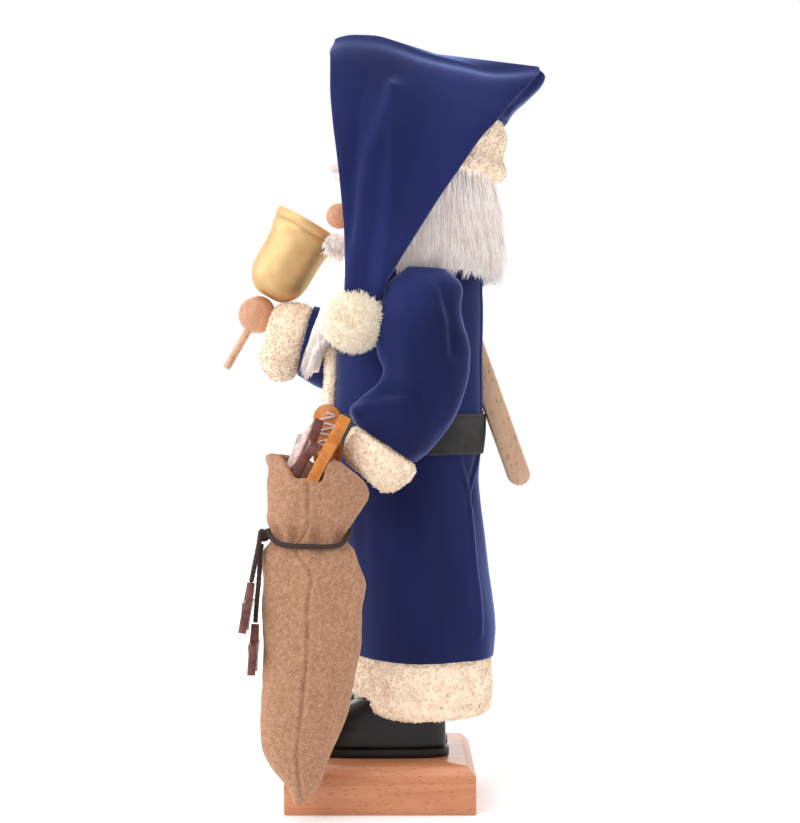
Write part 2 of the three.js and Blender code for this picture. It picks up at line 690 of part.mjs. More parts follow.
function sack() {
  const outer = sackEnvelope();
  const mouthStations = SACK_STATIONS.filter(({ height }) => height > SACK_FLOOR);
  const [lowest] = mouthStations;
  const [highest] = mouthStations.slice(-1);
  const hollow = upright(
    [{ ...lowest, height: SACK_FLOOR }, ...mouthStations, { ...highest, height: highest.height + 2 }],
    { ...SACK_ROUND, grow: -SACK_WALL },
  );
  const dip = SACK_RIM_DIP;
  const scoop = solid(
    new THREE.CylinderGeometry(dip.radius, dip.radius, 2 * FAR, 24).rotateZ(Math.PI / 2).translate(0, dip.y, dip.z),
  );
  const nearHalf = box(SACK_X, FAR, -FAR, FAR, 0, FAR);
  const { highY, highZ, lowY, lowZ } = SACK_RIM_SLOPE;
  const aboveSlope = new THREE.Shape([flat(highY, highZ), flat(lowY, lowZ), flat(lowY, FAR), flat(highY, FAR)]);
  return cut(
    outer,
    hollow,
    scoop.intersect(nearHalf),
    alongX(aboveSlope, FAR),
    leftCuffEnvelope(GAP),
    ball(LEFT_HAND, ARM_BALL_RADIUS + GAP),
    cookieStar(COOKIES.cookie_star_orange, GAP),
    cookieStar(COOKIES.cookie_star_dark, GAP),
    longCookie(GAP),
  );
}

// The cord round the sack's neck, as a ring just outside the neck's own plan.
function tieCurve() {
  const plan = { x: SACK_X, front: flat(NECK.front, TIE.height), rear: flat(NECK.rear, TIE.height) };
  const points = hoop({ ...plan, halfWide: NECK.halfWide }, { ...SACK_ROUND, grow: TIE.radius + GAP });
  return new THREE.CatmullRomCurve3(points, true);
}

function round(radius, sides) {
  return new THREE.Shape(
    Array.from({ length: sides }, (_, i) => {
      const angle = (2 * Math.PI * i) / sides;
      return flat(radius * Math.cos(angle), radius * Math.sin(angle));
    }),
  );
}

const KNOT = { x: 77, y: -63.8, z: 161.5, halfX: 4.5, halfY: 2.8, halfZ: 3.6 };

function tie() {
  const ring = new THREE.ExtrudeGeometry(round(TIE.radius, TIE.sides), {
    steps: SACK_SIDES,
    extrudePath: tieCurve(),
    bevelEnabled: false,
  });
  return cut(join(solid(ring), pebble(KNOT)), sackEnvelope(GAP));
}

// The two free tails: each a route of points from the knot down to its star, and the star's lean in degrees.
const TAILS = {
  a: {
    route: [
      [82.4, -65.8, 163.6],
      [86.2, -66.2, 158.5],
      [89.4, -67.2, 152],
      [90.2, -68.6, 145],
      [88.2, -69.8, 139.8],
      [85, -70.6, 136.9],
    ],
    starLean: -9,
  },
  b: {
    route: [
      [80.4, -65.4, 156.4],
      [84, -66, 150.5],
      [86, -66, 144],
      [85.5, -66.6, 136],
      [83.6, -67.6, 127],
      [81.6, -68.4, 119],
      [80.6, -68.8, 113.5],
    ],
    starLean: -3.5,
  },
};

function tail({ route }) {
  const curve = new THREE.CatmullRomCurve3(route.map((p) => new THREE.Vector3(...p)));
  return solid(
    new THREE.ExtrudeGeometry(round(TAIL_CORD.radius, TAIL_CORD.sides), {
      steps: route.length,
      extrudePath: curve,
      bevelEnabled: false,
    }),
  );
}

function tailStar({ route, starLean }) {
  const [x, y, z] = route[route.length - 1];
  const drop = TAIL_STAR.radius + STAR_CLEARANCE;
  const lean = radians(starLean);
  const place = { x, y: y + drop * Math.sin(lean), z: z - drop * Math.cos(lean), yaw: 0, lean: starLean };
  return plate(starShape(TAIL_STAR.radius, TAIL_STAR.inner), TAIL_STAR.thickness, place);
}

// Finishes, each with its colour, roughness and metalness

const FINISHES = {
  lacquered_beech: [0xcf9a6c, 0.45, 0],
  pale_beech: [0xd9b28a, 0.6, 0],
  skin_paint: [0xe2b18b, 0.5, 0],
  black_gloss: [0x17171a, 0.3, 0],
  blue_velvet: [0x1d3a8a, 0.9, 0],
  teddy: [0xefe4cf, 1, 0],
  white_fur: [0xf4f3ef, 1, 0],
  leather: [0x3b3a39, 0.55, 0],
  satin_gold: [0xc8a45e, 0.35, 0.9],
  felt: [0xae8767, 1, 0],
  cookie_orange: [0xd8892f, 0.5, 0],
  cookie_brown: [0x5b362c, 0.6, 0],
  cord: [0x3a2724, 0.8, 0],
};

const PIECES = [
  ["base", "lacquered_beech", baseBlock],
  ["sole_left", "black_gloss", () => sole(1)],
  ["sole_right", "black_gloss", () => sole(-1)],
  ["boot_left", "black_gloss", () => cut(boot(1), coatEnvelope(GAP))],
  ["boot_right", "black_gloss", () => cut(boot(-1), coatEnvelope(GAP))],
  ["coat", "blue_velvet", coat],
  ["coat_hem_trim", "teddy", hemTrim],
  ["coat_front_trim", "teddy", frontTrim],
  ["belt", "leather", belt],
  ["belt_buckle", "satin_gold", buckle],
  ["sleeve_left", "blue_velvet", leftSleeve],
  ["sleeve_right", "blue_velvet", rightSleeve],
  ["cuff_left", "teddy", leftCuff],
  ["cuff_right", "teddy", rightCuff],
  ["hand_left", "lacquered_beech", leftHand],
  ["hand_right", "lacquered_beech", rightHand],
  ["bell", "satin_gold", bell],
  ["bell_handle", "pale_beech", () => handleSolid(0)],
  ["head", "skin_paint", head],
  ["nose", "lacquered_beech", nose],
  ["jaw_lever", "pale_beech", () => leverSolid()],
  ["hair", "white_fur", hair],
  ["beard", "white_fur", beard],
  ["moustache", "white_fur", moustache],
  ["brow_left", "white_fur", () => brow(1)],
  ["brow_right", "white_fur", () => brow(-1)],
  ["cap", "blue_velvet", cap],
  ["cap_trim", "teddy", capTrim],
  ["pompom", "teddy", () => ball(POMPOM, POMPOM.radius)],
  ["sack", "felt", sack],
  ["sack_tie", "cord", tie],
  ["cookie_star_orange", "cookie_orange", () => cookieStar(COOKIES.cookie_star_orange)],
  ["cookie_star_dark", "cookie_brown", () => cookieStar(COOKIES.cookie_star_dark)],
  ["cookie_long", "cookie_orange", () => longCookie()],
  ["cord_tail_a", "cord", () => tail(TAILS.a)],
  ["cord_tail_b", "cord", () => tail(TAILS.b)],
  ["cord_star_a", "cookie_brown", () => tailStar(TAILS.a)],
  ["cord_star_b", "cookie_brown", () => tailStar(TAILS.b)],
];

const figure = new THREE.Group();
for (const [name, finish, make] of PIECES) {
  const [color, roughness, metalness] = FINISHES[finish];
  const mesh = new THREE.Mesh(
    geometryOf(make()),
    new THREE.MeshStandardMaterial({ color, roughness, metalness, flatShading: true }),
  );
  mesh.name = name;
  figure.add(mesh);
}

export default figure;
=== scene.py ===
"""Looks of a santa nutcracker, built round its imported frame.

Sizes are in millimetres, +Z up. The figure faces -Y and his left side is +X.
Angles round an upright piece start at +X and turn through the rear, +Y.
"""

import json
import logging
import math
from collections.abc import Sequence
from dataclasses import dataclass
from enum import Enum

import bpy
import numpy as np
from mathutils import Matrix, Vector

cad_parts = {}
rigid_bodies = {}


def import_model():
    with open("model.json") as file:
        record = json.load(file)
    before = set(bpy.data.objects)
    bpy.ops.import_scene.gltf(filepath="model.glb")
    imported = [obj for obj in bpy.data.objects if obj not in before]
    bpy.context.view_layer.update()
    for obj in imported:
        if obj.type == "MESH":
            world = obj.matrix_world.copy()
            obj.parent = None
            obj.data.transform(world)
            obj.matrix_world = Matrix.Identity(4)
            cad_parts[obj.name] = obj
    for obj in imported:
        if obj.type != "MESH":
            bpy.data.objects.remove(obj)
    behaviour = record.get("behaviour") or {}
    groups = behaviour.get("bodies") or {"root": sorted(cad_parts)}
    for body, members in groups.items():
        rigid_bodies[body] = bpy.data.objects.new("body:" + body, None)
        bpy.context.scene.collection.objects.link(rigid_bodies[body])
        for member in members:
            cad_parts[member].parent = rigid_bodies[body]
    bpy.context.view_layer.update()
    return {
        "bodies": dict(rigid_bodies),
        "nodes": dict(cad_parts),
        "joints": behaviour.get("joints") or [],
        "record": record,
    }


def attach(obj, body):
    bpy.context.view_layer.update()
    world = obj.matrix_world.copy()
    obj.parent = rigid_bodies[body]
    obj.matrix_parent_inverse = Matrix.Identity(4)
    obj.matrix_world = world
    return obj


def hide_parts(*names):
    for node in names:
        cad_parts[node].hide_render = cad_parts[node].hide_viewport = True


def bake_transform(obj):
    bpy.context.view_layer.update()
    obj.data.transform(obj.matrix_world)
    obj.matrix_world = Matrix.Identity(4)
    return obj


MM = 0.001
TURN = 2 * math.pi
BELT_MIDDLE = 217.0
CAP_EDGE_REAR = 77.7
CAP_EDGE_SLOPE = 0.115
HASH_STEPS = np.array([73856093, 19349663, 83492791])
HASH_SEED = 2654435761
log = logging.getLogger("nutcracker")

Array = np.ndarray
Random = np.random.Generator
Rows = Sequence[Sequence[float]]
Spot = tuple[float, float, float]
Paint = tuple[int, int, int]
Crease = tuple[Rows, float, float]
Material = bpy.types.Material
Object = bpy.types.Object
Socket = bpy.types.NodeSocket


# Shapes worked out as whole arrays


def unit(vectors: Array) -> Array:
    """Returns each vector divided by its own length."""
    return vectors / np.maximum(np.linalg.norm(vectors, axis=-1, keepdims=True), 1e-9)


def spline(knots: Array, values: Array, at: Array) -> Array:
    """Reads rows of values between their knots along smooth cubics.

    Between two knots a distance h apart, at share t, the value is
    (2t^3 - 3t^2 + 1) v0 + (t^3 - 2t^2 + t) h m0 + (3t^2 - 2t^3) v1 + (t^3 - t^2) h m1,
    where each slope m is the central difference at its knot.

    Args:
        knots: The places of the rows, rising, shape (k,).
        values: The rows, shape (k, c).
        at: Where to read, any shape.

    Returns:
        The values there, shape at.shape + (c,).
    """
    slopes = np.gradient(values, knots, axis=0)
    low = np.clip(np.searchsorted(knots, at, side="right") - 1, 0, len(knots) - 2)
    step = (knots[low + 1] - knots[low])[..., None]
    t = np.clip((at - knots[low])[..., None] / step, 0, 1)
    start = (2 * t**3 - 3 * t**2 + 1) * values[low] + (t**3 - 2 * t**2 + t) * step * slopes[low]
    return start + (3 * t**2 - 2 * t**3) * values[low + 1] + (t**3 - t**2) * step * slopes[low + 1]


def chords(points: Array) -> Array:
    """Returns how far along its chords each point of a line lies, from 0."""
    return np.concatenate([[0], np.cumsum(np.linalg.norm(np.diff(points, axis=0), axis=1))])


def through(points: Rows, count: int) -> Array:
    """Returns count points of a smooth curve through the given ones, its knots a chord length apart."""
    given = np.array(points, float)
    reach = chords(given)
    return spline(reach, given, np.linspace(0, reach[-1], count))


def swell(place: Array, middle: Array | float, width: float) -> Array:
    """Returns the bell curve exp(-((place - middle) / width)^2)."""
    return np.exp(-(((place - middle) / width) ** 2))


def between(place: Array, low: float, high: float) -> Array:
    """Returns 0 below low, 1 above high and the smooth step 3t^2 - 2t^3 in the middle."""
    t = np.clip((place - low) / (high - low), 0, 1)
    return t * t * (3 - 2 * t)


def squashed(wave: Array, power: float) -> Array:
    """Returns a wave with its size raised to a power and its sign kept."""
    return np.sign(wave) * np.abs(wave) ** power


def hoop(
    angle: Array, x: Array, half: Array, front: Array, rear: Array, power: float, out: Array
) -> Array:
    """Returns the points of squashed rounds, each in a plane through the x axis' direction.

    A point lies at x + (half + out) c across and at (|rear - front| / 2 + out) s from the
    middle of front and rear along their line, where c and s are the angle's cosine and
    sine with their sizes raised to 2 / power.

    Args:
        angle: Angles round each hoop; it and all the others broadcast together.
        x: Where the hoop's middle lies across the figure.
        half: Half its width across the figure.
        front: Its front point, y and z in the last axis.
        rear: Its rear point, in the same way.
        power: 2 gives an ellipse and more gives flatter sides.
        out: How far the surface is moved outwards.

    Returns:
        The points, x, y and z in the last axis.
    """
    reach = (rear - front) / 2
    length = np.linalg.norm(reach, axis=-1)
    along = reach / np.maximum(length, 1e-6)[..., None]
    across = squashed(np.cos(angle), 2 / power)
    back = squashed(np.sin(angle), 2 / power)
    plan = (front + rear) / 2 + along * ((length + out) * back)[..., None]
    side = np.broadcast_to(x + (half + out) * across, plan.shape[:-1])
    return np.concatenate([side[..., None], plan], axis=-1)


def upright(
    rows: Rows, height: Array, angle: Array, out: Array | float = 0, x: float = 0, power: float = 2
) -> Array:
    """Returns hoops of a body given by level plans.

    Args:
        rows: Plans from the lowest up, each its height, front y, rear y and half width.
        height: Heights of the points, broadcast with angle.
        angle: Angles of the points.
        out: How far the surface is moved outwards there.
        x: Where the body stands across the figure.
        power: The squareness of the plans.

    Returns:
        The points; where a height is past the last plan the end plan is kept.
    """
    table = np.array(rows, float)
    height, angle, out = np.broadcast_arrays(height, angle, out)
    plan = spline(table[:, 0], table[:, 1:], height)
    front = np.stack([plan[..., 0], height], axis=-1)
    rear = np.stack([plan[..., 1], height], axis=-1)
    return hoop(angle, x, plan[..., 2], front, rear, power, out)


def slanted(rows: Rows, share: Array, angle: Array, out: Array | float = 0, power: float = 2) -> Array:
    """Returns hoops of a limb, each row x, half width, front y, front z, rear y, rear z.

    Args:
        rows: The rows in order.
        share: Place along the rows' middles from 0 to 1, broadcast with angle.
        angle: Angles of the points.
        out: How far the surface is moved outwards there.
        power: The squareness of the hoops.

    Returns:
        The points.
    """
    table = np.array(rows, float)
    share, angle, out = np.broadcast_arrays(share, angle, out)
    reach = chords(np.stack([table[:, 0], table[:, [2, 4]].mean(1), table[:, [3, 5]].mean(1)], axis=-1))
    row = spline(reach / reach[-1], table, share)
    return hoop(angle, row[..., 0], row[..., 1], row[..., 2:4], row[..., 4:6], power, out)


def turned(profile: Rows, around: int) -> Array:
    """Returns a profile of height and radius turned round the z axis: (r cos a, r sin a, h)."""
    table = np.array(profile, float)
    height, radius = table[:, :1], table[:, 1:]
    angle = angles(around)
    level = np.broadcast_to(height, (len(table), around))
    return np.stack([radius * np.cos(angle), radius * np.sin(angle), level], axis=-1)


def angles(count: int) -> Array:
    """Returns count angles evenly round a full turn."""
    return np.arange(count) * TURN / count


def rows_between(low: float, high: float, count: int) -> Array:
    """Returns count heights from low to high as a column."""
    return np.linspace(low, high, count)[:, None]


def noise(points: Array, size: float | Sequence[float], seed: int) -> Array:
    """Returns smooth lattice noise from -1 to 1.

    Each corner of a grid with cells of the given size has its own number, a hash of its
    place, and a point takes the mean of its cell's eight corners, weighted by the smooth
    steps of its place in the cell.
    """
    spot = points / np.asarray(size, float)
    cell = np.floor(spot).astype(np.int64)
    share = spot - cell
    share = share * share * (3 - 2 * share)
    total = np.zeros(points.shape[:-1])
    for corner in np.ndindex(2, 2, 2):
        x, y, z = np.moveaxis((cell + np.array(corner)) * HASH_STEPS, -1, 0)
        number = x ^ y ^ z ^ (seed * HASH_SEED)
        number = (number & 0xFFFFFFFF) * 1274126177 & 0xFFFFFFFF
        number = ((number ^ (number >> 15)) * 2246822519) & 0xFFFFFFFF
        value = (number ^ (number >> 13)) / 2147483648 - 1
        weight = np.where(np.array(corner) == 1, share, 1 - share).prod(axis=-1)
        total += value * weight
    return total


def normals_of(grid: Array, wrap: bool = True) -> Array:
    """Returns a grid's unit normals: the cross product of its steps along the two ways."""
    down = np.gradient(grid, axis=0)
    if wrap:
        round_it = (np.roll(grid, -1, axis=1) - np.roll(grid, 1, axis=1)) / 2
    else:
        round_it = np.gradient(grid, axis=1)
    crossed = np.cross(round_it, down)
    facing = np.sign((crossed * (grid - grid.mean(axis=(0, 1)))).sum())
    return unit(crossed) * (facing or 1)


def tube(
    path: Array,
    radius: Array | float,
    around: int,
    ply: int = 0,
    twists: float = 0,
    reference: Spot = (1, 0.3, 0.2),
) -> Array:
    """Returns a grid round a path: p + r (cos a u + sin a w), with u and w across the path.

    Args:
        path: The path's points, shape (n, 3).
        radius: Its radius, one number or one for each point.
        around: How many columns go round it.
        ply: How many strands the cord is twisted from; 0 leaves it smooth.
        twists: Turns of the strands over the whole path.
        reference: A direction that the path never runs along.

    Returns:
        The grid, shape (n, around, 3). With strands, r swells by 14% once for each.
    """
    tangent = unit(np.gradient(path, axis=0))
    side = unit(np.cross(tangent, np.array(reference, float)))
    other = np.cross(tangent, side)
    angle = angles(around)
    turn = np.linspace(0, TURN * twists, len(path))[:, None]
    swollen = 1 if ply == 0 else 0.86 + 0.14 * np.abs(np.cos(ply * (angle - turn) / 2))
    width = np.broadcast_to(np.asarray(radius, float).reshape(-1, 1), (len(path), 1)) * swollen
    width = np.broadcast_to(width, (len(path), around))[..., None]
    spoke = np.cos(angle)[:, None] * side[:, None] + np.sin(angle)[:, None] * other[:, None]
    return path[:, None] + width * spoke


def cord_tube(path: Array, radius: float, twists: float) -> Array:
    """Returns a two-ply cord along a path."""
    return tube(path, radius, 14, ply=2, twists=twists, reference=(0.1, 0.2, 1))


class Ends(Enum):
    """What closes a grid at its first and last row."""

    CLOSED = "a fan to the row's middle"
    OPEN = "nothing"
    JOINED = "the last row meets the first"


class Body:
    """Points and triangles of one piece, gathered from whole arrays and made into a mesh."""

    def __init__(self) -> None:
        """Starts an empty body."""
        self.points: list[Array] = []
        self.faces: list[Array] = []
        self.count = 0

    def add(self, points: Array, faces: Array) -> None:
        """Adds points (n, 3) and the triangles (k, 3) that index them."""
        self.points.append(points.reshape(-1, 3))
        self.faces.append(faces + self.count)
        self.count += len(self.points[-1])

    def grid(self, points: Array, ends: Ends = Ends.CLOSED, keep: Array | None = None) -> None:
        """Adds a grid of points as two triangles for each of its cells, facing outwards.

        Args:
            points: The grid, shape (rows, columns, 3).
            ends: What closes the first and last row. The last column meets the first.
            keep: Which cells are made, shape (rows - 1, columns); all of them if left out.
        """
        rows, columns = points.shape[:2]
        index = np.arange(rows * columns).reshape(rows, columns)
        index = np.concatenate([index, index[:, :1]], axis=1)
        if ends is Ends.JOINED:
            index = np.concatenate([index, index[:1]], axis=0)
        a, b, c, d = index[:-1, :-1], index[:-1, 1:], index[1:, 1:], index[1:, :-1]
        cells = np.stack([a, b, c, a, c, d], axis=-1)
        cells = cells if keep is None else cells[keep]
        faces = cells.reshape(-1, 3)
        flat = points.reshape(-1, 3)
        if ends is Ends.CLOSED:
            flat = np.concatenate([flat, points[0].mean(0)[None], points[-1].mean(0)[None]])
            first = np.stack([index[0, 1:], index[0, :-1], np.full(columns, rows * columns)], axis=-1)
            tip = np.full(columns, rows * columns + 1)
            last = np.stack([index[-1, :-1], index[-1, 1:], tip], axis=-1)
            faces = np.concatenate([faces, first, last])
        corner = flat[faces] - flat.mean(0)
        volume = (corner[:, 0] * np.cross(corner[:, 1], corner[:, 2])).sum()
        self.add(flat, faces if volume > 0 else faces[:, ::-1])

    def make(self, name: str, material: Material, sharp: float | None = None) -> Object:
        """Makes the mesh object.

        Args:
            name: The piece's name.
            material: Its finish.
            sharp: Edges over this angle in degrees stay sharp; none do if left out.

        Returns:
            The object, at the origin and in metres.
        """
        mesh = bpy.data.meshes.new(name)
        mesh.from_pydata(np.concatenate(self.points) * MM, [], np.concatenate(self.faces))
        mesh.shade_smooth()
        if sharp is not None:
            mesh.set_sharp_from_angle(angle=math.radians(sharp))
        mesh.materials.append(material)
        made = bpy.data.objects.new(name, mesh)
        bpy.context.scene.collection.objects.link(made)
        return made


def solid(
    name: str, material: Material, *grids: Array, ends: Ends = Ends.CLOSED, sharp: float | None = None
) -> Object:
    """Makes a piece of one or more grids.

    Args:
        name: The piece's name.
        material: Its finish.
        grids: Its surfaces, each a grid.
        ends: What closes them.
        sharp: Edges over this angle in degrees stay sharp; none do if left out.

    Returns:
        The object.
    """
    body = Body()
    for grid in grids:
        body.grid(grid, ends)
    return body.make(name, material, sharp)


# Fur and pile as strands


def scattered(
    grid: Array, count: int, rng: Random, weight: Array | None = None, wrap: bool = True
) -> tuple[Array, Array]:
    """Picks random places on a grid, as many for each area.

    Args:
        grid: The surface, shape (rows, columns, 3).
        count: How many places.
        rng: The random numbers.
        weight: How thickly each row is covered, shape (rows,); evenly if left out.
        wrap: Whether the last column meets the first.

    Returns:
        The places and the surface's normals there, each (count, 3).
    """
    normals = normals_of(grid, wrap)
    ring = grid
    if wrap:
        ring = np.concatenate([grid, grid[:, :1]], axis=1)
        normals = np.concatenate([normals, normals[:, :1]], axis=1)
    start = ring[:-1, :-1]
    area = np.linalg.norm(np.cross(ring[1:, :-1] - start, ring[:-1, 1:] - start), axis=-1)
    if weight is not None:
        area = area * np.minimum(weight[:-1], weight[1:])[:, None]
    cell = rng.choice(area.size, count, p=(area / area.sum()).ravel())
    row, column = np.unravel_index(cell, area.shape)
    u, v = rng.random((2, count, 1))

    def read(values: Array) -> Array:
        """Returns values at the chosen places, linear across each cell."""
        low = values[row, column] * (1 - v) + values[row, column + 1] * v
        high = values[row + 1, column] * (1 - v) + values[row + 1, column + 1] * v
        return low * (1 - u) + high * u

    return read(ring), unit(read(normals))


def add_strands(body: Body, paths: Array, radius: Array, taper: float = 0.7) -> None:
    """Adds three-sided strands that close to a point.

    Ring k of a strand lies at its path's point k with radius r (1 - t)^taper, t from 0 at
    the root to 1 at the tip, where its three sides meet.

    Args:
        body: The piece that they join.
        paths: Their paths, shape (strands, steps, 3).
        radius: Their root radii, shape (strands,).
        taper: How soon they thin.
    """
    count, steps = paths.shape[:2]
    tangent = unit(np.gradient(paths, axis=1))
    side = unit(np.cross(tangent, np.array([0.31, 0.87, 0.23])))
    other = np.cross(tangent, side)
    width = radius[:, None] * (1 - np.arange(steps - 1) / (steps - 1)) ** taper
    angle = angles(3)[:, None]
    across = np.cos(angle) * side[:, :-1, None] + np.sin(angle) * other[:, :-1, None]
    rings = paths[:, :-1, None] + width[..., None, None] * across
    points = np.concatenate([rings.reshape(count, -1, 3), paths[:, -1:]], axis=1)
    start = np.arange(steps - 2)[:, None] * 3
    near, far = np.arange(3), (np.arange(3) + 1) % 3
    a, b = start + near, start + far
    sides = np.stack([a, b, b + 3, a, b + 3, a + 3], axis=-1)
    top = (steps - 2) * 3
    tips = np.stack([top + near, top + far, np.full(3, top + 3)], axis=-1)
    faces = np.concatenate([sides.reshape(-1, 3), tips, [[2, 1, 0]]])
    offset = np.arange(count)[:, None, None] * points.shape[1]
    body.add(points, (faces + offset).reshape(-1, 3))


@dataclass(frozen=True)
class Curls:
    """Short curled tufts of teddy pile."""

    count: int
    height: float = 1.0
    radius: float = 0.5

    def add_to(self, body: Body, grid: Array, rng: Random, weight: Array | None = None) -> None:
        """Adds the tufts, each the arc h (sin 2.6t n + 0.6 (1 - cos 2.6t) s) from its root.

        Args:
            body: The piece that they join.
            grid: The surface that they grow on.
            rng: The random numbers.
            weight: How thickly each of the grid's rows is covered.
        """
        roots, normal = scattered(grid, self.count, rng, weight)
        lean = unit(np.cross(normal, rng.normal(size=normal.shape)))
        height = self.height * rng.uniform(0.6, 1.25, (self.count, 1, 1))
        t = 2.6 * np.linspace(0, 1, 4)[:, None]
        arc = np.sin(t) * normal[:, None] + 0.6 * (1 - np.cos(t)) * lean[:, None]
        paths = roots[:, None] - 0.3 * normal[:, None] + height * arc
        add_strands(body, paths, self.radius * rng.uniform(0.7, 1.2, self.count), 0.45)


@dataclass(frozen=True)
class LongFur:
    """Long soft hair that gathers into locks towards its tips."""

    radius: float
    lift: float
    sway: float
    lock: int
    pull: float
    steps: int = 4

    def add_to(
        self, body: Body, roots: Array, normal: Array, flow: Array, length: Array, rng: Random
    ) -> None:
        """Adds the hair.

        A hair's own path is root + L (t f + lift (t - 0.75t^2) n + sway t^2 s), with f its
        flow, n the normal and s a random side. At share t it has gone pull t^1.4 of the way
        to the path of its lock's leader, the nearest of a few hairs picked at random.

        Args:
            body: The piece that the hair joins.
            roots: Where the hairs grow, shape (count, 3).
            normal: The surface's normals there.
            flow: The way that the hair lies there.
            length: How long each is, shape (count,).
            rng: The random numbers.
        """
        t = np.linspace(0, 1, self.steps)[:, None]
        count = len(roots)
        side = np.cross(flow, normal) * rng.normal(size=(count, 1))
        side = unit(side + 0.4 * rng.normal(size=normal.shape))
        bent = t * flow[:, None] + self.lift * (t - 0.75 * t**2) * normal[:, None]
        bent = bent + self.sway * t**2 * side[:, None]
        own = roots[:, None] - 0.5 * normal[:, None] + length[:, None, None] * bent
        leaders = rng.choice(count, max(1, count // self.lock), replace=False)
        apart = ((roots[:, None] - roots[leaders][None]) ** 2).sum(-1)
        leader = own[leaders[apart.argmin(axis=1)]]
        gathered = self.pull * t**1.4
        paths = own * (1 - gathered) + (leader + 0.1 * (roots[:, None] - leader[:, :1])) * gathered
        add_strands(body, paths, self.radius * rng.uniform(0.7, 1.25, count))


def knobbly(grid: Array, depth: float, seed: int, mask: Array | float = 1) -> Array:
    """Returns a grid raised into small curls.

    Each point moves out by depth (0.55 (1 - |a|^0.7) + 0.3 (1 - |b|^0.7) + 0.25 c - 0.4), with
    a, b and c noise of 3, 1.7 and 7 mm cells.
    """
    first = 1 - np.abs(noise(grid, 3.0, seed)) ** 0.7
    second = 1 - np.abs(noise(grid, 1.7, seed + 1)) ** 0.7
    broad = noise(grid, 7.0, seed + 2)
    out = depth * mask * (0.55 * first + 0.3 * second + 0.25 * broad - 0.4)
    return grid + out[..., None] * normals_of(grid)


# Finishes as node materials


def paint(red: int, green: int, blue: int) -> tuple[float, float, float, float]:
    """Returns a screen colour of 0 to 255 as the linear colour that a shader reads."""
    share = np.array([red, green, blue]) / 255
    linear = np.where(share <= 0.04045, share / 12.92, ((share + 0.055) / 1.055) ** 2.4)
    return (float(linear[0]), float(linear[1]), float(linear[2]), 1.0)


class Wire:
    """A shader socket that Python's operators combine, each adding one Math node."""

    def __init__(self, shader: "Shader", socket: Socket) -> None:
        """Keeps the socket and the shader that it belongs to."""
        self.shader = shader
        self.socket = socket

    def _math(self, operation: str, *values: "Wire | float") -> "Wire":
        """Returns the result of a Math node on these values."""
        return self.shader.node("ShaderNodeMath", {"operation": operation}, dict(enumerate(values)))

    def __add__(self, other: "Wire | float") -> "Wire":
        """Returns self + other."""
        return self._math("ADD", self, other)

    __radd__ = __add__

    def __sub__(self, other: "Wire | float") -> "Wire":
        """Returns self - other."""
        return self._math("SUBTRACT", self, other)

    def __rsub__(self, other: "Wire | float") -> "Wire":
        """Returns other - self."""
        return self._math("SUBTRACT", other, self)

    def __mul__(self, other: "Wire | float") -> "Wire":
        """Returns self * other."""
        return self._math("MULTIPLY", self, other)

    __rmul__ = __mul__

    def __pow__(self, other: "Wire | float") -> "Wire":
        """Returns self ** other."""
        return self._math("POWER", self, other)

    def __lt__(self, other: "Wire | float") -> "Wire":
        """Returns 1 where self is less than other, and 0 elsewhere."""
        return self._math("LESS_THAN", self, other)

    def size(self) -> "Wire":
        """Returns the size without its sign."""
        return self._math("ABSOLUTE", self)

    def between(self, low: float, high: float) -> "Wire":
        """Returns 0 at low, 1 at high and a smooth step in the middle."""
        settings = {"interpolation_type": "SMOOTHSTEP"}
        values = {"Value": self, "From Min": low, "From Max": high}
        return self.shader.node("ShaderNodeMapRange", settings, values)


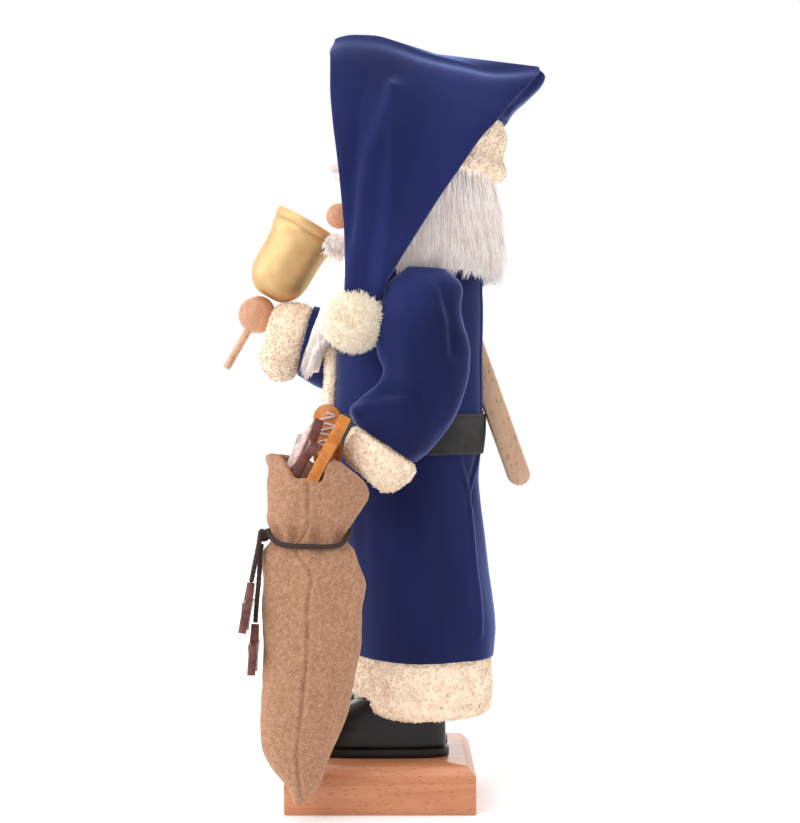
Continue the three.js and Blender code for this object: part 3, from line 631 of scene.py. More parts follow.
class Shader:
    """One material's nodes, from the object's own coordinates to the Principled shader."""

    def __init__(self, name: str) -> None:
        """Starts a material with its Principled shader and Object coordinates in millimetres."""
        self.material = bpy.data.materials.new(name)
        self.material.use_nodes = True
        self.tree = self.material.node_tree
        self.tree.nodes.clear()
        self.surface = self.tree.nodes.new("ShaderNodeBsdfPrincipled")
        output = self.tree.nodes.new("ShaderNodeOutputMaterial")
        self.tree.links.new(self.surface.outputs["BSDF"], output.inputs["Surface"])
        place = self.node("ShaderNodeTexCoord", {}, {}, "Object")
        values = {0: place, "Scale": 1 / MM}
        self.place = self.node("ShaderNodeVectorMath", {"operation": "SCALE"}, values)

    def node(
        self,
        kind: str,
        settings: dict[str, object],
        values: dict[str | int, object],
        output: str | int = 0,
    ) -> Wire:
        """Adds a node.

        Args:
            kind: Its type.
            settings: Its settings, set before its sockets; stops holds a ramp's places and colours.
            values: Its sockets' values or wires, by name or number.
            output: Which of its outputs is wanted.

        Returns:
            That output's wire.
        """
        made = self.tree.nodes.new(kind)
        for name, value in settings.items():
            if name == "stops":
                self._set_stops(made.color_ramp, value)
            else:
                setattr(made, name, value)
        for name, value in values.items():
            if isinstance(value, Wire):
                self.tree.links.new(value.socket, made.inputs[name])
            else:
                made.inputs[name].default_value = value
        return Wire(self, made.outputs[output])

    @staticmethod
    def _set_stops(ramp: bpy.types.ColorRamp, stops: Sequence[tuple[float, tuple[float, ...]]]) -> None:
        """Sets a ramp's stops, each a place and a colour."""
        while len(ramp.elements) < len(stops):
            ramp.elements.new(1.0)
        for element, (place, colour) in zip(ramp.elements, stops):
            element.position = place
            element.color = colour

    def _scaled(self, size: float, stretch: Spot) -> Wire:
        """Returns the place in units of size mm, which are longer along stretch."""
        cell = tuple(size * each for each in stretch)
        return self.node("ShaderNodeVectorMath", {"operation": "DIVIDE"}, {0: self.place, 1: cell})

    def noise(
        self,
        size: float,
        detail: float = 2,
        stretch: Spot = (1, 1, 1),
        rough: float = 0.5,
        warp: float = 0,
    ) -> Wire:
        """Returns noise from 0 to 1 with features about size mm across, longer along stretch."""
        values = {"Vector": self._scaled(size, stretch), "Scale": 1.0}
        values |= {"Detail": detail, "Roughness": rough, "Distortion": warp}
        return self.node("ShaderNodeTexNoise", {}, values)

    def cells(self, size: float, stretch: Spot = (1, 1, 1)) -> Wire:
        """Returns the distance from the middle of cells about size mm across."""
        values = {"Vector": self._scaled(size, stretch), "Scale": 1.0}
        return self.node("ShaderNodeTexVoronoi", {}, values, "Distance")

    def axis(self, name: str) -> Wire:
        """Returns one coordinate of the place, in millimetres."""
        return self.node("ShaderNodeSeparateXYZ", {}, {0: self.place}, name)

    def ramp(self, share: Wire, *stops: tuple[float, tuple[float, ...]]) -> Wire:
        """Returns the colour of a ramp at a share."""
        return self.node("ShaderNodeValToRGB", {"stops": stops}, {0: share})

    def mix(self, share: Wire | float, first: object, second: object) -> Wire:
        """Returns two colours mixed by a share."""
        return self.node("ShaderNodeMix", {"data_type": "RGBA"}, {0: share, 6: first, 7: second}, 2)

    def set(self, **sockets: object) -> None:
        """Sets the Principled shader's sockets, by name with _ for a space."""
        for name, value in sockets.items():
            socket = self.surface.inputs[name.replace("_", " ")]
            if isinstance(value, Wire):
                self.tree.links.new(value.socket, socket)
            else:
                socket.default_value = value

    def bump(self, height: Wire, depth: float, strength: float = 1) -> None:
        """Bumps the surface by a height of 0 to 1 that stands for depth mm."""
        values = {"Height": height, "Distance": depth * MM, "Strength": strength}
        self.set(Normal=self.node("ShaderNodeBump", {}, values))


@dataclass(frozen=True)
class Velvet:
    """Short blue velvet: dark where it is seen along the pile, light along its grazing edges."""

    deep: Paint = (17, 20, 52)
    raised: Paint = (36, 44, 96)
    fibre: Paint = (40, 50, 104)
    edge: Paint = (164, 184, 250)

    def make(self) -> Material:
        """Returns the material."""
        shader = Shader("blue_velvet")
        lie = shader.noise(60, 2, (1, 1, 2), 0.4)
        fine = shader.noise(0.5, 2)
        colour = shader.ramp(lie.between(0.2, 0.8), (0.0, paint(*self.deep)), (1.0, paint(*self.raised)))
        shader.set(Base_Color=shader.mix(fine * 0.2, colour, paint(*self.fibre)), Roughness=0.85)
        shader.set(Sheen_Weight=1.0, Sheen_Roughness=0.32, Sheen_Tint=paint(*self.edge))
        shader.set(Specular_IOR_Level=0.1)
        shader.bump(fine, 0.12, 0.35)
        return shader.material


@dataclass(frozen=True)
class Pile:
    """Cream teddy pile or white fur, lighter on its tips than down between its curls: its
    darker shade tone is painted shade, mixed in by noise.

    The light that pale fibres pass on to each other is painted light, a faint glow of its own.
    """

    name: str
    shade: Paint
    tip: Paint
    patch: float = 7
    painted_glow: float = 0.04

    def make(self) -> Material:
        """Returns the material."""
        shader = Shader(self.name)
        share = shader.noise(self.patch, 3) * 0.65 + shader.noise(1.3, 2) * 0.35
        # The shade tone is painted shade for down between the curls, spread by noise.
        colour = shader.ramp(share.between(0.32, 0.6), (0.0, paint(*self.shade)), (1.0, paint(*self.tip)))
        shader.set(Base_Color=colour, Roughness=0.95, Specular_IOR_Level=0.1)
        # Painted light: a faint glow that stands in for light passed on between pale fibres.
        shader.set(Emission_Color=colour, Emission_Strength=self.painted_glow)
        return shader.material


@dataclass(frozen=True)
class Felt:
    """Mottled wool felt with fine light and dark fibres."""

    dark: Paint = (137, 98, 75)
    base: Paint = (168, 125, 98)
    light: Paint = (192, 153, 125)
    fuzz: Paint = (226, 190, 160)

    def make(self) -> Material:
        """Returns the material."""
        shader = Shader("felt")
        mottle = shader.noise(2.4, 4, (1, 1, 1), 0.65)
        fleck = shader.noise(0.55, 2, (1, 1, 1.7), 0.6)
        share = mottle * 0.45 + fleck * 0.55
        stops = zip((0.34, 0.5, 0.66), (paint(*self.dark), paint(*self.base), paint(*self.light)))
        shader.set(Base_Color=shader.ramp(share, *stops), Roughness=0.95, Specular_IOR_Level=0.15)
        shader.set(Sheen_Weight=0.45, Sheen_Roughness=0.5, Sheen_Tint=paint(*self.fuzz))
        shader.bump(share, 0.5, 0.55)
        return shader.material


class Grain(Enum):
    """The way that a wooden piece's grain runs, as the stretch of its fibres along x, y and z."""

    FORWARDS = (1.0, 14.0, 1.0)
    UPWARDS = (1.0, 1.0, 14.0)
    LEANING = (1.0, 5.0, 14.0)


@dataclass(frozen=True)
class Beech:
    """Beech with soft growth bands, pores and its short dark flecks, bare or lacquered."""

    name: str
    pale: Paint
    dark: Paint
    fleck: Paint
    grain: Grain
    lacquer: float

    def make(self) -> Material:
        """Returns the material."""
        shader = Shader(self.name)
        run = self.grain.value
        bands = shader.noise(5.5, 3, run, 0.55, 0.8)
        fibre = shader.noise(0.55, 2, run)
        share = bands * 0.7 + fibre * 0.3
        colour = shader.ramp(share, (0.3, paint(*self.dark)), (0.66, paint(*self.pale)))
        short = tuple(1 + (value - 1) * 0.22 for value in run)
        flecks = shader.cells(1.5, short).between(0.3, 0.16)
        colour = shader.mix(flecks * 0.55, colour, paint(*self.fleck))
        shader.set(Base_Color=colour, Roughness=fibre * 0.12 + (0.52 - 0.16 * self.lacquer))
        shader.set(Coat_Weight=0.35 * self.lacquer, Coat_Roughness=0.2, Specular_IOR_Level=0.4)
        shader.bump(fibre * 0.5 - flecks * 0.3, 0.12, 0.3)
        return shader.material


@dataclass(frozen=True)
class Gloss:
    """Satin paint with faint dust and brush marks."""

    name: str
    colour: Paint
    worn: Paint
    roughness: float = 0.42
    coat: float = 0.15

    def make(self) -> Material:
        """Returns the material."""
        shader = Shader(self.name)
        cloud = shader.noise(13, 4)
        brush = shader.noise(0.8, 2, (1, 6, 1))
        shader.set(Specular_IOR_Level=0.3)
        wear = cloud.between(0.35, 0.75) * 0.6
        shader.set(Base_Color=shader.mix(wear, paint(*self.colour), paint(*self.worn)))
        shader.set(Roughness=cloud * 0.16 + brush * 0.06 + (self.roughness - 0.1))
        shader.set(Coat_Weight=self.coat, Coat_Roughness=0.2)
        shader.bump(brush, 0.05, 0.3)
        return shader.material


@dataclass(frozen=True)
class Leather:
    """Dark grey belt leather with a fine pebbled grain."""

    base: Paint = (40, 39, 39)
    worn: Paint = (62, 60, 58)
    worn_edge: tuple[float, float] = (10.6, 12.0)

    def make(self) -> Material:
        """Returns the material, its belt worn at the top and bottom edges."""
        shader = Shader("leather")
        pebble = shader.cells(0.9)
        cloud = shader.noise(9, 3)
        edge = (shader.axis("Z") - BELT_MIDDLE).size().between(*self.worn_edge)
        shade = shader.mix(cloud.between(0.4, 0.8) * 0.5, paint(*self.base), paint(*self.worn))
        shader.set(Base_Color=shader.mix(edge * 0.5, shade, paint(*self.worn)))
        shader.set(Roughness=pebble * 0.2 + 0.5, Specular_IOR_Level=0.2)
        shader.bump(pebble, 0.18, 0.4)
        return shader.material


@dataclass(frozen=True)
class Gold:
    """Satin gold with faint turning marks."""

    tone: Paint = (212, 180, 132)
    dull: Paint = (196, 162, 112)
    roughness: float = 0.56

    def make(self) -> Material:
        """Returns the material."""
        shader = Shader("satin_gold")
        cloud = shader.noise(8, 3)
        fine = shader.noise(0.35, 2, (5, 1, 1))
        cast = cloud.between(0.35, 0.75) * 0.5
        shader.set(Base_Color=shader.mix(cast, paint(*self.tone), paint(*self.dull)))
        shader.set(Metallic=1.0, Roughness=cloud * 0.1 + fine * 0.08 + (self.roughness - 0.08))
        shader.bump(fine, 0.03, 0.3)
        return shader.material


@dataclass(frozen=True)
class Baked:
    """A painted wooden cookie: stained wood, browner at its edges, or its pinkish icing."""

    name: str
    base: Paint
    edge: Paint
    grit: float = 1.6
    roughness: float = 0.4
    depth: float = 0.2

    def make(self) -> Material:
        """Returns the material."""
        shader = Shader(self.name)
        cloud = shader.noise(6, 3)
        speck = shader.noise(self.grit, 3, (1, 1, 1), 0.6)
        share = cloud * 0.6 + speck * 0.4
        colour = shader.ramp(share, (0.33, paint(*self.edge)), (0.58, paint(*self.base)))
        shader.set(Base_Color=colour, Roughness=speck * 0.2 + (self.roughness - 0.08), Coat_Weight=0.1)
        shader.bump(speck, self.depth, 0.5)
        return shader.material


@dataclass(frozen=True)
class Cord:
    """Dark twisted cord with fine threads."""

    base: Paint = (36, 23, 20)
    light: Paint = (74, 52, 45)

    def make(self) -> Material:
        """Returns the material."""
        shader = Shader("cord")
        thread = shader.noise(0.35, 2)
        colour = shader.ramp(thread, (0.4, paint(*self.base)), (0.7, paint(*self.light)))
        shader.set(Base_Color=colour, Roughness=0.85)
        shader.bump(thread, 0.15, 0.5)
        return shader.material


@dataclass(frozen=True)
class Face:
    """Flesh paint with rosy cheeks and simple painted doll's eyes."""

    skin: Paint = (226, 178, 142)
    flush: Paint = (236, 196, 164)
    cheek: Paint = (214, 116, 96)
    cheek_at: tuple[float, float, float, float] = (21.0, 344.0, 10.0, 9.0)
    eye_x: float = 14.0
    eye_z: float = 360.5
    eye: tuple[tuple[str, float, float, float, float, Paint], ...] = (
        ("rim", 0.0, 0.0, 5.6, 4.2, (40, 30, 28)),
        ("white", 0.0, 0.0, 4.9, 3.5, (240, 238, 232)),
        ("iris", -0.6, 0.0, 2.7, 3.0, (60, 104, 158)),
        ("pupil", -0.6, 0.0, 1.3, 1.5, (18, 16, 18)),
        # The glint is a painted highlight, a white dot that stands in for a reflection on the eye.
        ("glint", -1.4, 0.9, 0.6, 0.6, (250, 250, 250)),
    )

    def make(self) -> Material:
        """Returns the material, each eye painted as ellipses one over the other."""
        shader = Shader("skin_paint")
        across, up, back = shader.axis("X").size(), shader.axis("Z"), shader.axis("Y")
        cloud = shader.noise(9, 3)
        facing = back < 0.0

        def spot(x: float, z: float, wide: float, tall: float) -> Wire:
            """Returns the squared distance from a place on the face, 1 at an ellipse's edge."""
            return ((across - x) * (1 / wide)) ** 2 + ((up - z) * (1 / tall)) ** 2

        colour = shader.mix(cloud * 0.25, paint(*self.skin), paint(*self.flush))
        rouge = spot(*self.cheek_at).between(1, 0.1) * facing * 0.55
        colour = shader.mix(rouge, colour, paint(*self.cheek))
        for _, aside, above, wide, tall, layer in self.eye:
            inside = (spot(self.eye_x + aside, self.eye_z + above, wide, tall) < 1.0) * facing
            colour = shader.mix(inside, colour, paint(*layer))
        shader.set(Base_Color=colour)
        shader.set(Roughness=cloud * 0.14 + 0.36, Coat_Weight=0.15, Coat_Roughness=0.2)
        shader.bump(cloud, 0.1, 0.15)
        return shader.material


@dataclass(frozen=True)
class Plain:
    """One even matt colour, with a glow where it has one."""

    name: str
    tone: Paint
    glow: float = 0.0

    def make(self) -> Material:
        """Returns the material."""
        shader = Shader(self.name)
        shader.set(Base_Color=paint(*self.tone), Roughness=0.9, Specular_IOR_Level=0.1)
        shader.set(Emission_Color=(1, 1, 1, 1), Emission_Strength=self.glow)
        return shader.material


# The pieces


class Slot(Enum):
    """The record's material slots."""

    LACQUERED_BEECH = "lacquered_beech"
    PALE_BEECH = "pale_beech"
    SKIN = "skin_paint"
    BLACK = "black_gloss"
    VELVET = "blue_velvet"
    TEDDY = "teddy"
    FUR = "white_fur"
    LEATHER = "leather"
    GOLD = "satin_gold"
    FELT = "felt"
    ORANGE = "cookie_orange"
    BROWN = "cookie_brown"
    CORD = "cord"


class Side(Enum):
    """The figure's own left and right, as the sign of x."""

    LEFT = 1
    RIGHT = -1


def fit(piece: Object, slot: Slot, *nodes: str, body: str | None = "figure") -> Object:
    """Gives a piece its body and hides the nodes that it stands for.

    Args:
        piece: The piece.
        slot: Not used.
        nodes: The nodes that it replaces.
        body: The body that it rides on; None leaves it unattached.

    Returns:
        The piece.
    """
    if body:
        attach(piece, body)
    if nodes:
        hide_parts(*nodes)
    log.info("%s: %d triangles", piece.name, len(piece.data.polygons))
    return piece


def finish_node(frame: dict, node: str, material: Material) -> None:
    """Gives a frame node that stays in view a finish of its own."""
    mesh = frame["nodes"][node].data
    mesh.materials.clear()
    mesh.materials.append(material)
    log.info("%s: finished as it is", node)


def beside(flat: Array, line: Rows) -> Array:
    """Returns the distance from flat points to a line of straight pieces.

    On a piece from a to b the nearest place to p is at the share (p - a).(b - a) / |b - a|^2,
    kept from 0 to 1.
    """
    given = np.array(line, float)
    start, step = given[:-1], np.diff(given, axis=0)
    offset = flat[..., None, :] - start
    share = np.clip((offset * step).sum(-1) / (step**2).sum(-1), 0, 1)
    return np.linalg.norm(offset - share[..., None] * step, axis=-1).min(-1)


def ball(middle: Sequence[float], radii: Sequence[float], rows: int, around: int) -> Array:
    """Returns an ellipsoid's grid: middle + radii (cos e cos a, cos e sin a, sin e)."""
    rise = np.linspace(-1.52, 1.52, rows)[:, None]
    angle = angles(around)
    around_it, up = np.cos(rise), np.sin(rise) + 0 * angle
    level = np.stack([around_it * np.cos(angle), around_it * np.sin(angle), up], axis=-1)
    return np.array(middle, float) + np.array(radii, float) * level


def plate(outline: Array, half: float, soften: float) -> Array:
    """Returns a flat board with softened edges.

    Each row is the outline moved inwards along its own normals by 1, 0.3 or 0 times the
    softening, at the matching distance from the board's face.

    Args:
        outline: The closed outline, shape (n, 2).
        half: Half the board's thickness.
        soften: How far its edges are taken back.

    Returns:
        The grid, its last axis the outline's two ways and the way through the board.
    """
    along = unit(np.roll(outline, -1, axis=0) - np.roll(outline, 1, axis=0))
    outward = np.stack([along[:, 1], -along[:, 0]], axis=-1)
    outward = outward * np.sign((outward * (outline - outline.mean(0))).sum())
    inset = np.array([1, 0.3, 0, 0, 0.3, 1])[:, None, None] * soften
    through_it = np.array([-1, -1, -1, 1, 1, 1]) * half + np.array([0, 0.3, 1, -1, -0.3, 0]) * soften
    flat = outline - outward * inset
    through_it = np.broadcast_to(through_it[:, None, None], flat.shape[:2] + (1,))
    return np.concatenate([flat, through_it], axis=-1)


def star(radius: float, inner: float, steps: int) -> Array:
    """Returns a five-pointed star's outline, its first point up, each edge in a few steps."""
    corner = np.arange(10) * math.pi / 5 + math.pi / 2
    reach = np.where(np.arange(10) % 2, inner, 1.0) * radius
    points = np.stack([reach * np.cos(corner), reach * np.sin(corner)], axis=-1)
    share = np.linspace(0.06, 0.94, steps)[:, None]
    return (points[:, None] * (1 - share) + np.roll(points, -1, axis=0)[:, None] * share).reshape(-1, 2)


def quarter_rounds(steps: int) -> tuple[Array, Array, Array]:
    """Returns an oblong's four quarter rounds: the angle along them and their two signs."""
    turn = np.linspace(0, math.pi / 2, steps)
    quarter = np.arange(4)[:, None] * math.pi / 2
    angle = (turn + quarter).ravel()
    middle = np.repeat((quarter + math.pi / 4).ravel(), steps)
    return angle, np.sign(np.cos(middle)), np.sign(np.sin(middle))


@dataclass(frozen=True)
class Standing:
    """Where a flat piece stands: upright and facing -Y, yawed, leant back and carried to its place."""

    x: float
    y: float
    z: float
    yaw: float = 0.0
    lean: float = 0.0

    def place(self, grid: Array) -> Array:
        """Returns a plate's grid, turned by yaw about z and then by lean about x, and moved."""
        across, up, through_it = grid[..., 0], grid[..., 1], grid[..., 2]
        yaw, lean = math.radians(self.yaw), math.radians(self.lean)
        x = across * math.cos(yaw) - through_it * math.sin(yaw)
        y = across * math.sin(yaw) + through_it * math.cos(yaw)
        back = y * math.cos(lean) - up * math.sin(lean)
        high = y * math.sin(lean) + up * math.cos(lean)
        return np.stack([x, back, high], axis=-1) + np.array([self.x, self.y, self.z])


@dataclass
class Studio:
    """The camera, its pale floor and soft lights."""

    camera_at: Spot = (1000.0, 11.4, 230.3)
    lens: float = 72.5
    sky: float = 0.5
    backdrop: float = 1.2
    room: float = 0.55
    floor_tone: Paint = (250, 250, 250)
    floor_glow: float = 0.12
    floor_half: float = 1400.0
    lights: tuple[tuple[str, Spot, float, float], ...] = (
        ("key", (1300.0, -900.0, 1150.0), 1100.0, 15.0),
        ("front", (200.0, -1500.0, 700.0), 1000.0, 9.0),
        ("rear", (-100.0, 1500.0, 900.0), 1000.0, 9.0),
        ("far", (-1400.0, -200.0, 900.0), 1200.0, 9.0),
        ("top", (100.0, 0.0, 1700.0), 1200.0, 10.0),
    )
    aim: Spot = (0.0, 15.0, 230.0)

    def build(self) -> None:
        """Makes them all."""
        scene = bpy.context.scene
        scene.view_settings.view_transform = "Standard"
        camera = bpy.data.objects.new("camera", bpy.data.cameras.new("camera"))
        camera.location = np.array(self.camera_at) * MM
        camera.rotation_euler = (math.pi / 2, 0, math.pi / 2)
        camera.data.lens = self.lens
        scene.collection.objects.link(camera)
        scene.camera = camera
        self._world(scene)
        for name, place, size, power in self.lights:
            self._light(name, place, size, power)
        corner = self.floor_half * np.array([[-1, -1, 0], [1, -1, 0], [1, 1, 0], [-1, 1, 0]])
        floor = Body()
        floor.add(corner + np.array([0, 0, -0.2]), np.array([[0, 1, 2], [0, 2, 3]]))
        look = Plain("studio_floor", self.floor_tone, self.floor_glow)
        floor.make("studio_floor", look.make())

    def _world(self, scene: bpy.types.Scene) -> None:
        """Makes a white sky: white to the camera, dimmer as a light.

        Reflections see a bright backdrop behind the figure and a dim room behind the camera.
        """
        world = bpy.data.worlds.new("studio")
        world.use_nodes = True
        tree = world.node_tree
        sky = tree.nodes["Background"]
        sky.inputs["Color"].default_value = (1, 1, 1, 1)
        ray = tree.nodes.new("ShaderNodeLightPath")
        way = tree.nodes.new("ShaderNodeTexCoord")
        parts = tree.nodes.new("ShaderNodeSeparateXYZ")
        tree.links.new(way.outputs["Generated"], parts.inputs[0])

        def ranged(
            value: Socket, low: float, high: float, first: float, second: Socket | float
        ) -> Socket:
            """Returns first where value is low and second where it is high, linear between them."""
            made = tree.nodes.new("ShaderNodeMapRange")
            tree.links.new(value, made.inputs["Value"])
            made.inputs["From Min"].default_value = low
            made.inputs["From Max"].default_value = high
            made.inputs["To Min"].default_value = first
            if isinstance(second, Socket):
                tree.links.new(second, made.inputs["To Max"])
            else:
                made.inputs["To Max"].default_value = second
            return made.outputs["Result"]

        mirrored_sky = ranged(parts.outputs["X"], -0.2, 0.5, self.backdrop, self.room)
        strength = ranged(ray.outputs["Is Glossy Ray"], 0, 1, self.sky, mirrored_sky)
        white = tree.nodes.new("ShaderNodeMath")
        white.operation = "MAXIMUM"
        tree.links.new(ray.outputs["Is Camera Ray"], white.inputs[0])
        tree.links.new(strength, white.inputs[1])
        tree.links.new(white.outputs[0], sky.inputs["Strength"])
        scene.world = world

    def _light(self, name: str, place: Sequence[float], size: float, power: float) -> None:
        """Makes one square soft light that faces the figure."""
        light = bpy.data.lights.new(name, "AREA")
        light.size = size * MM
        light.energy = power
        lamp = bpy.data.objects.new(name, light)
        lamp.location = np.array(place) * MM
        look = lamp.location - Vector(np.array(self.aim) * MM)
        lamp.rotation_euler = look.to_track_quat("Z", "Y").to_euler()
        bpy.context.scene.collection.objects.link(lamp)


@dataclass
class Stand:
    """The chamfered beech base, with two black boots on their soles."""

    half: float = 55.0
    height: float = 27.0
    chamfer: float = 5.0
    corner: float = 1.2
    foot_x: float = 17.0
    sole_rows: Rows = ((27.3, -41, 40.5, 13.2), (32.3, -41, 40.5, 13.2))
    boot_rows: Rows = (
        (32.7, -39.5, 38.5, 12.2),
        (42, -38, 38.5, 12.5),
        (50, -31, 38.2, 12.3),
        (57, -20, 37, 12),
        (62, -10, 36, 11.5),
    )

    def build(self, wood: Material, black: Material) -> None:
        """Makes the base, then each foot."""
        fit(self._base(wood), Slot.LACQUERED_BEECH, "base")
        for side in Side:
            name = side.name.lower()
            fit(self._sole(side, black), Slot.BLACK, f"sole_{name}")
            fit(self._boot(side, black), Slot.BLACK, f"boot_{name}")

    def _base(self, wood: Material) -> Object:
        """Returns the base: quarter rounds about the corners of a square, at each profile row's inset."""
        low, high = self.height - self.chamfer, self.height
        profile = np.array(
            [
                (0, 0.8),
                (0.25, 0.25),
                (0.8, 0),
                (low - 0.5, 0),
                (low + 0.2, 0.35),
                (high - 0.35, self.chamfer - 0.2),
                (high, self.chamfer + 0.5),
            ]
        )
        angle, aside, back = quarter_rounds(6)
        reach = self.half - self.corner - profile[:, 1:]
        x = reach * aside + self.corner * np.cos(angle)
        y = reach * back + self.corner * np.sin(angle)
        grid = np.stack([x, y, np.broadcast_to(profile[:, :1], x.shape)], axis=-1)
        return solid("base_block", wood, grid, sharp=30)

    def _sole(self, side: Side, black: Material) -> Object:
        """Returns one sole, its edges softened."""
        height = np.array([27.3, 27.45, 27.9, 31.6, 32.15, 32.3])[:, None]
        out = np.array([-0.6, -0.2, 0, 0, -0.25, -0.7])[:, None]
        grid = upright(self.sole_rows, height, angles(120), out, side.value * self.foot_x, 3)
        return solid(f"boot_sole_{side.name.lower()}", black, grid, sharp=40)

    def _boot(self, side: Side, black: Material) -> Object:
        """Returns one boot, with a soft crease where the toe meets the ankle."""
        height = rows_between(32.7, 62, 36)
        angle = angles(120)
        crease = swell(height, 45.5, 1.6) * between(-np.sin(angle), 0.1, 0.6)
        out = -0.5 * swell(height, 32.7, 0.7) - 0.5 * crease
        grid = upright(self.boot_rows, height, angle, out, side.value * self.foot_x, 3)
        return solid(f"turned_boot_{side.name.lower()}", black, grid, sharp=50)


@dataclass
class Coat:
    """The velvet coat over its wooden core, with its trims, belt and buckle."""

    rows: Rows = (
        (86.4, -14, 67, 49.5),
        (100, -14.5, 68.1, 49.5),
        (119, -16, 66.3, 49),
        (138, -18, 63.3, 47.5),
        (157, -20.5, 60.9, 46),
        (177, -22.5, 58.4, 44.5),
        (190, -24, 57.4, 43.8),
        (217, -26.5, 59.8, 43.5),
        (260, -25.5, 60, 43.5),
        (300, -23.5, 60, 43),
        (311, -22, 59, 40.5),
        (317, -19, 55, 36),
    )
    hem_rows: Rows = (
        (50.8, -9, 61.5, 44.5),
        (53.5, -13, 65.5, 48.5),
        (60, -15, 67.2, 50),
        (78, -15, 67.2, 50),
        (86, -14, 66.6, 49),
    )
    neck: Spot = (-5.5, 58.5, 41.5)
    core_tone: Paint = (12, 16, 40)
    around: int = 288
    cloth_gap: float = 0.25
    cloth_thick: float = 0.7
    slit_degrees: float = 14.3
    slit_low: float = 231.0
    slit_high: float = 306.0
    trim_half: float = 11.0
    trim_proud: float = 9.0
    trim_under_belt: float = 2.3
    trim_low: float = 87.2
    trim_top: float = 272.0
    belt_low: float = 205.0
    buckle_half: tuple[float, float] = (14.0, 10.0)
    buckle_corner: float = 3.0
    buckle_y: float = -33.9
    seed: int = 11

    def wave(self, height: Array, angle: Array) -> Array:
        """Returns the skirt's own waves: 1.3 s cos(5a + 1), s from 0 at 200 mm up to 1 at the hem."""
        share = np.clip((200 - height) / (200 - 86), 0, 1)
        return 1.3 * share * np.cos(5 * angle + 1)

    def skin(self, height: Array, angle: Array, out: Array | float) -> Array:
        """Returns the coat's surface, moved outwards."""
        return upright(self.rows, height, angle, out + self.wave(height, angle))

    def front(self, height: Array) -> Array:
        """Returns the y of the coat's foremost line at these heights."""
        return self.skin(height, np.full_like(height, -math.pi / 2), 0)[..., 1]

    def build(
        self, frame: dict, velvet: Material, teddy: Material, leather: Material, gold: Material
    ) -> None:
        """Makes the coat and everything worn on it."""
        finish_node(frame, "coat", Plain("coat_core", self.core_tone).make())
        hem = fit(self._hem(teddy), Slot.TEDDY, "coat_hem_trim")
        placket = fit(self._placket(teddy), Slot.TEDDY, "coat_front_trim")
        cloth = fit(self._cloth(velvet), Slot.VELVET)
        fit(self._belt(leather), Slot.LEATHER, "belt")
        fit(self._buckle(gold), Slot.GOLD, "belt_buckle")

    def _folds(self, points: Array) -> Array:
        """Returns how far the velvet stands off: soft hangs, pleats under the belt and the slit's welts.

        The pleats are bell-shaped ridges along lines of x and z at the rear, the same on
        both sides.
        """
        x, y, z = points[..., 0], points[..., 1], points[..., 2]
        below = between(self.belt_low - z, 0, 45)
        hang = noise(points, (11, 11, 80), self.seed) * 1.3 * below
        hang = hang + noise(points, (16, 16, 40), self.seed + 1) * 0.5
        rear = between(y, 15, 30)
        flat = np.stack([np.abs(x), z], axis=-1)
        pleat = 1.5 * swell(beside(flat, ((10.6, 206), (25, 182), (31, 140), (35, 100))), 0, 1.5)
        pleat = np.maximum(pleat, 1.3 * swell(beside(flat, ((32.6, 206), (25, 182))), 0, 1.5))
        pleat = pleat - 0.9 * swell(beside(flat, ((17, 204), (26, 176))), 0, 2.5)
        welt = 1.1 * swell(np.abs(x), 12.6, 1.3) * between(z, 228, 232) * between(-z, -311, -304)
        pressed = 1 - swell(z, BELT_MIDDLE, 13) * 0.9
        return np.clip(0.5 + (hang * pressed + rear * (pleat * pressed + welt)) * 0.8, 0, 3.2)

    def _cloth(self, velvet: Material) -> Object:
        """Returns the velvet with its slit at the back, a sheet given its thickness outwards."""
        angle = angles(self.around)
        skirt = np.linspace(85.6, self.slit_low, 118)
        slit = np.linspace(self.slit_low, self.slit_high, 62)[1:]
        collar = np.linspace(self.slit_high, 316.6, 12)[1:]
        height = np.concatenate([skirt, slit, collar])[:, None]
        bare = self.skin(height, angle, 0)
        out = self._folds(bare)
        cell = angle + math.pi / self.around
        in_slit = np.abs(np.degrees(cell) - 90) < self.slit_degrees
        middle = (height[1:] + height[:-1]) / 2
        keep = ~(in_slit & (middle > self.slit_low) & (middle < self.slit_high))
        body = Body()
        body.grid(self.skin(height, angle, out + self.cloth_gap), Ends.OPEN, keep=keep)
        made = body.make("coat_velvet", velvet)
        thick = made.modifiers.new("thickness", "SOLIDIFY")
        thick.thickness = self.cloth_thick * MM
        thick.offset = 1
        return made

    def _hem(self, teddy: Material) -> Object:
        """Returns the hem: a ring with an outer and an inner wall, its outside in curls."""
        angle = angles(330)
        outer = upright(self.hem_rows, rows_between(51.2, 85.8, 44), angle, -0.9 + self.wave(0, angle))
        height = rows_between(85.3, 51.6, 8)
        inner = upright(((50, *self.neck), (90, *self.neck)), height, angle, 0.6)
        pile = knobbly(outer, 0.9, self.seed + 2)
        body = Body()
        body.grid(np.concatenate([pile, inner]), Ends.JOINED)
        Curls(4700, 0.75, 0.66).add_to(body, pile, np.random.default_rng(self.seed))
        return body.make("hem_trim", teddy)

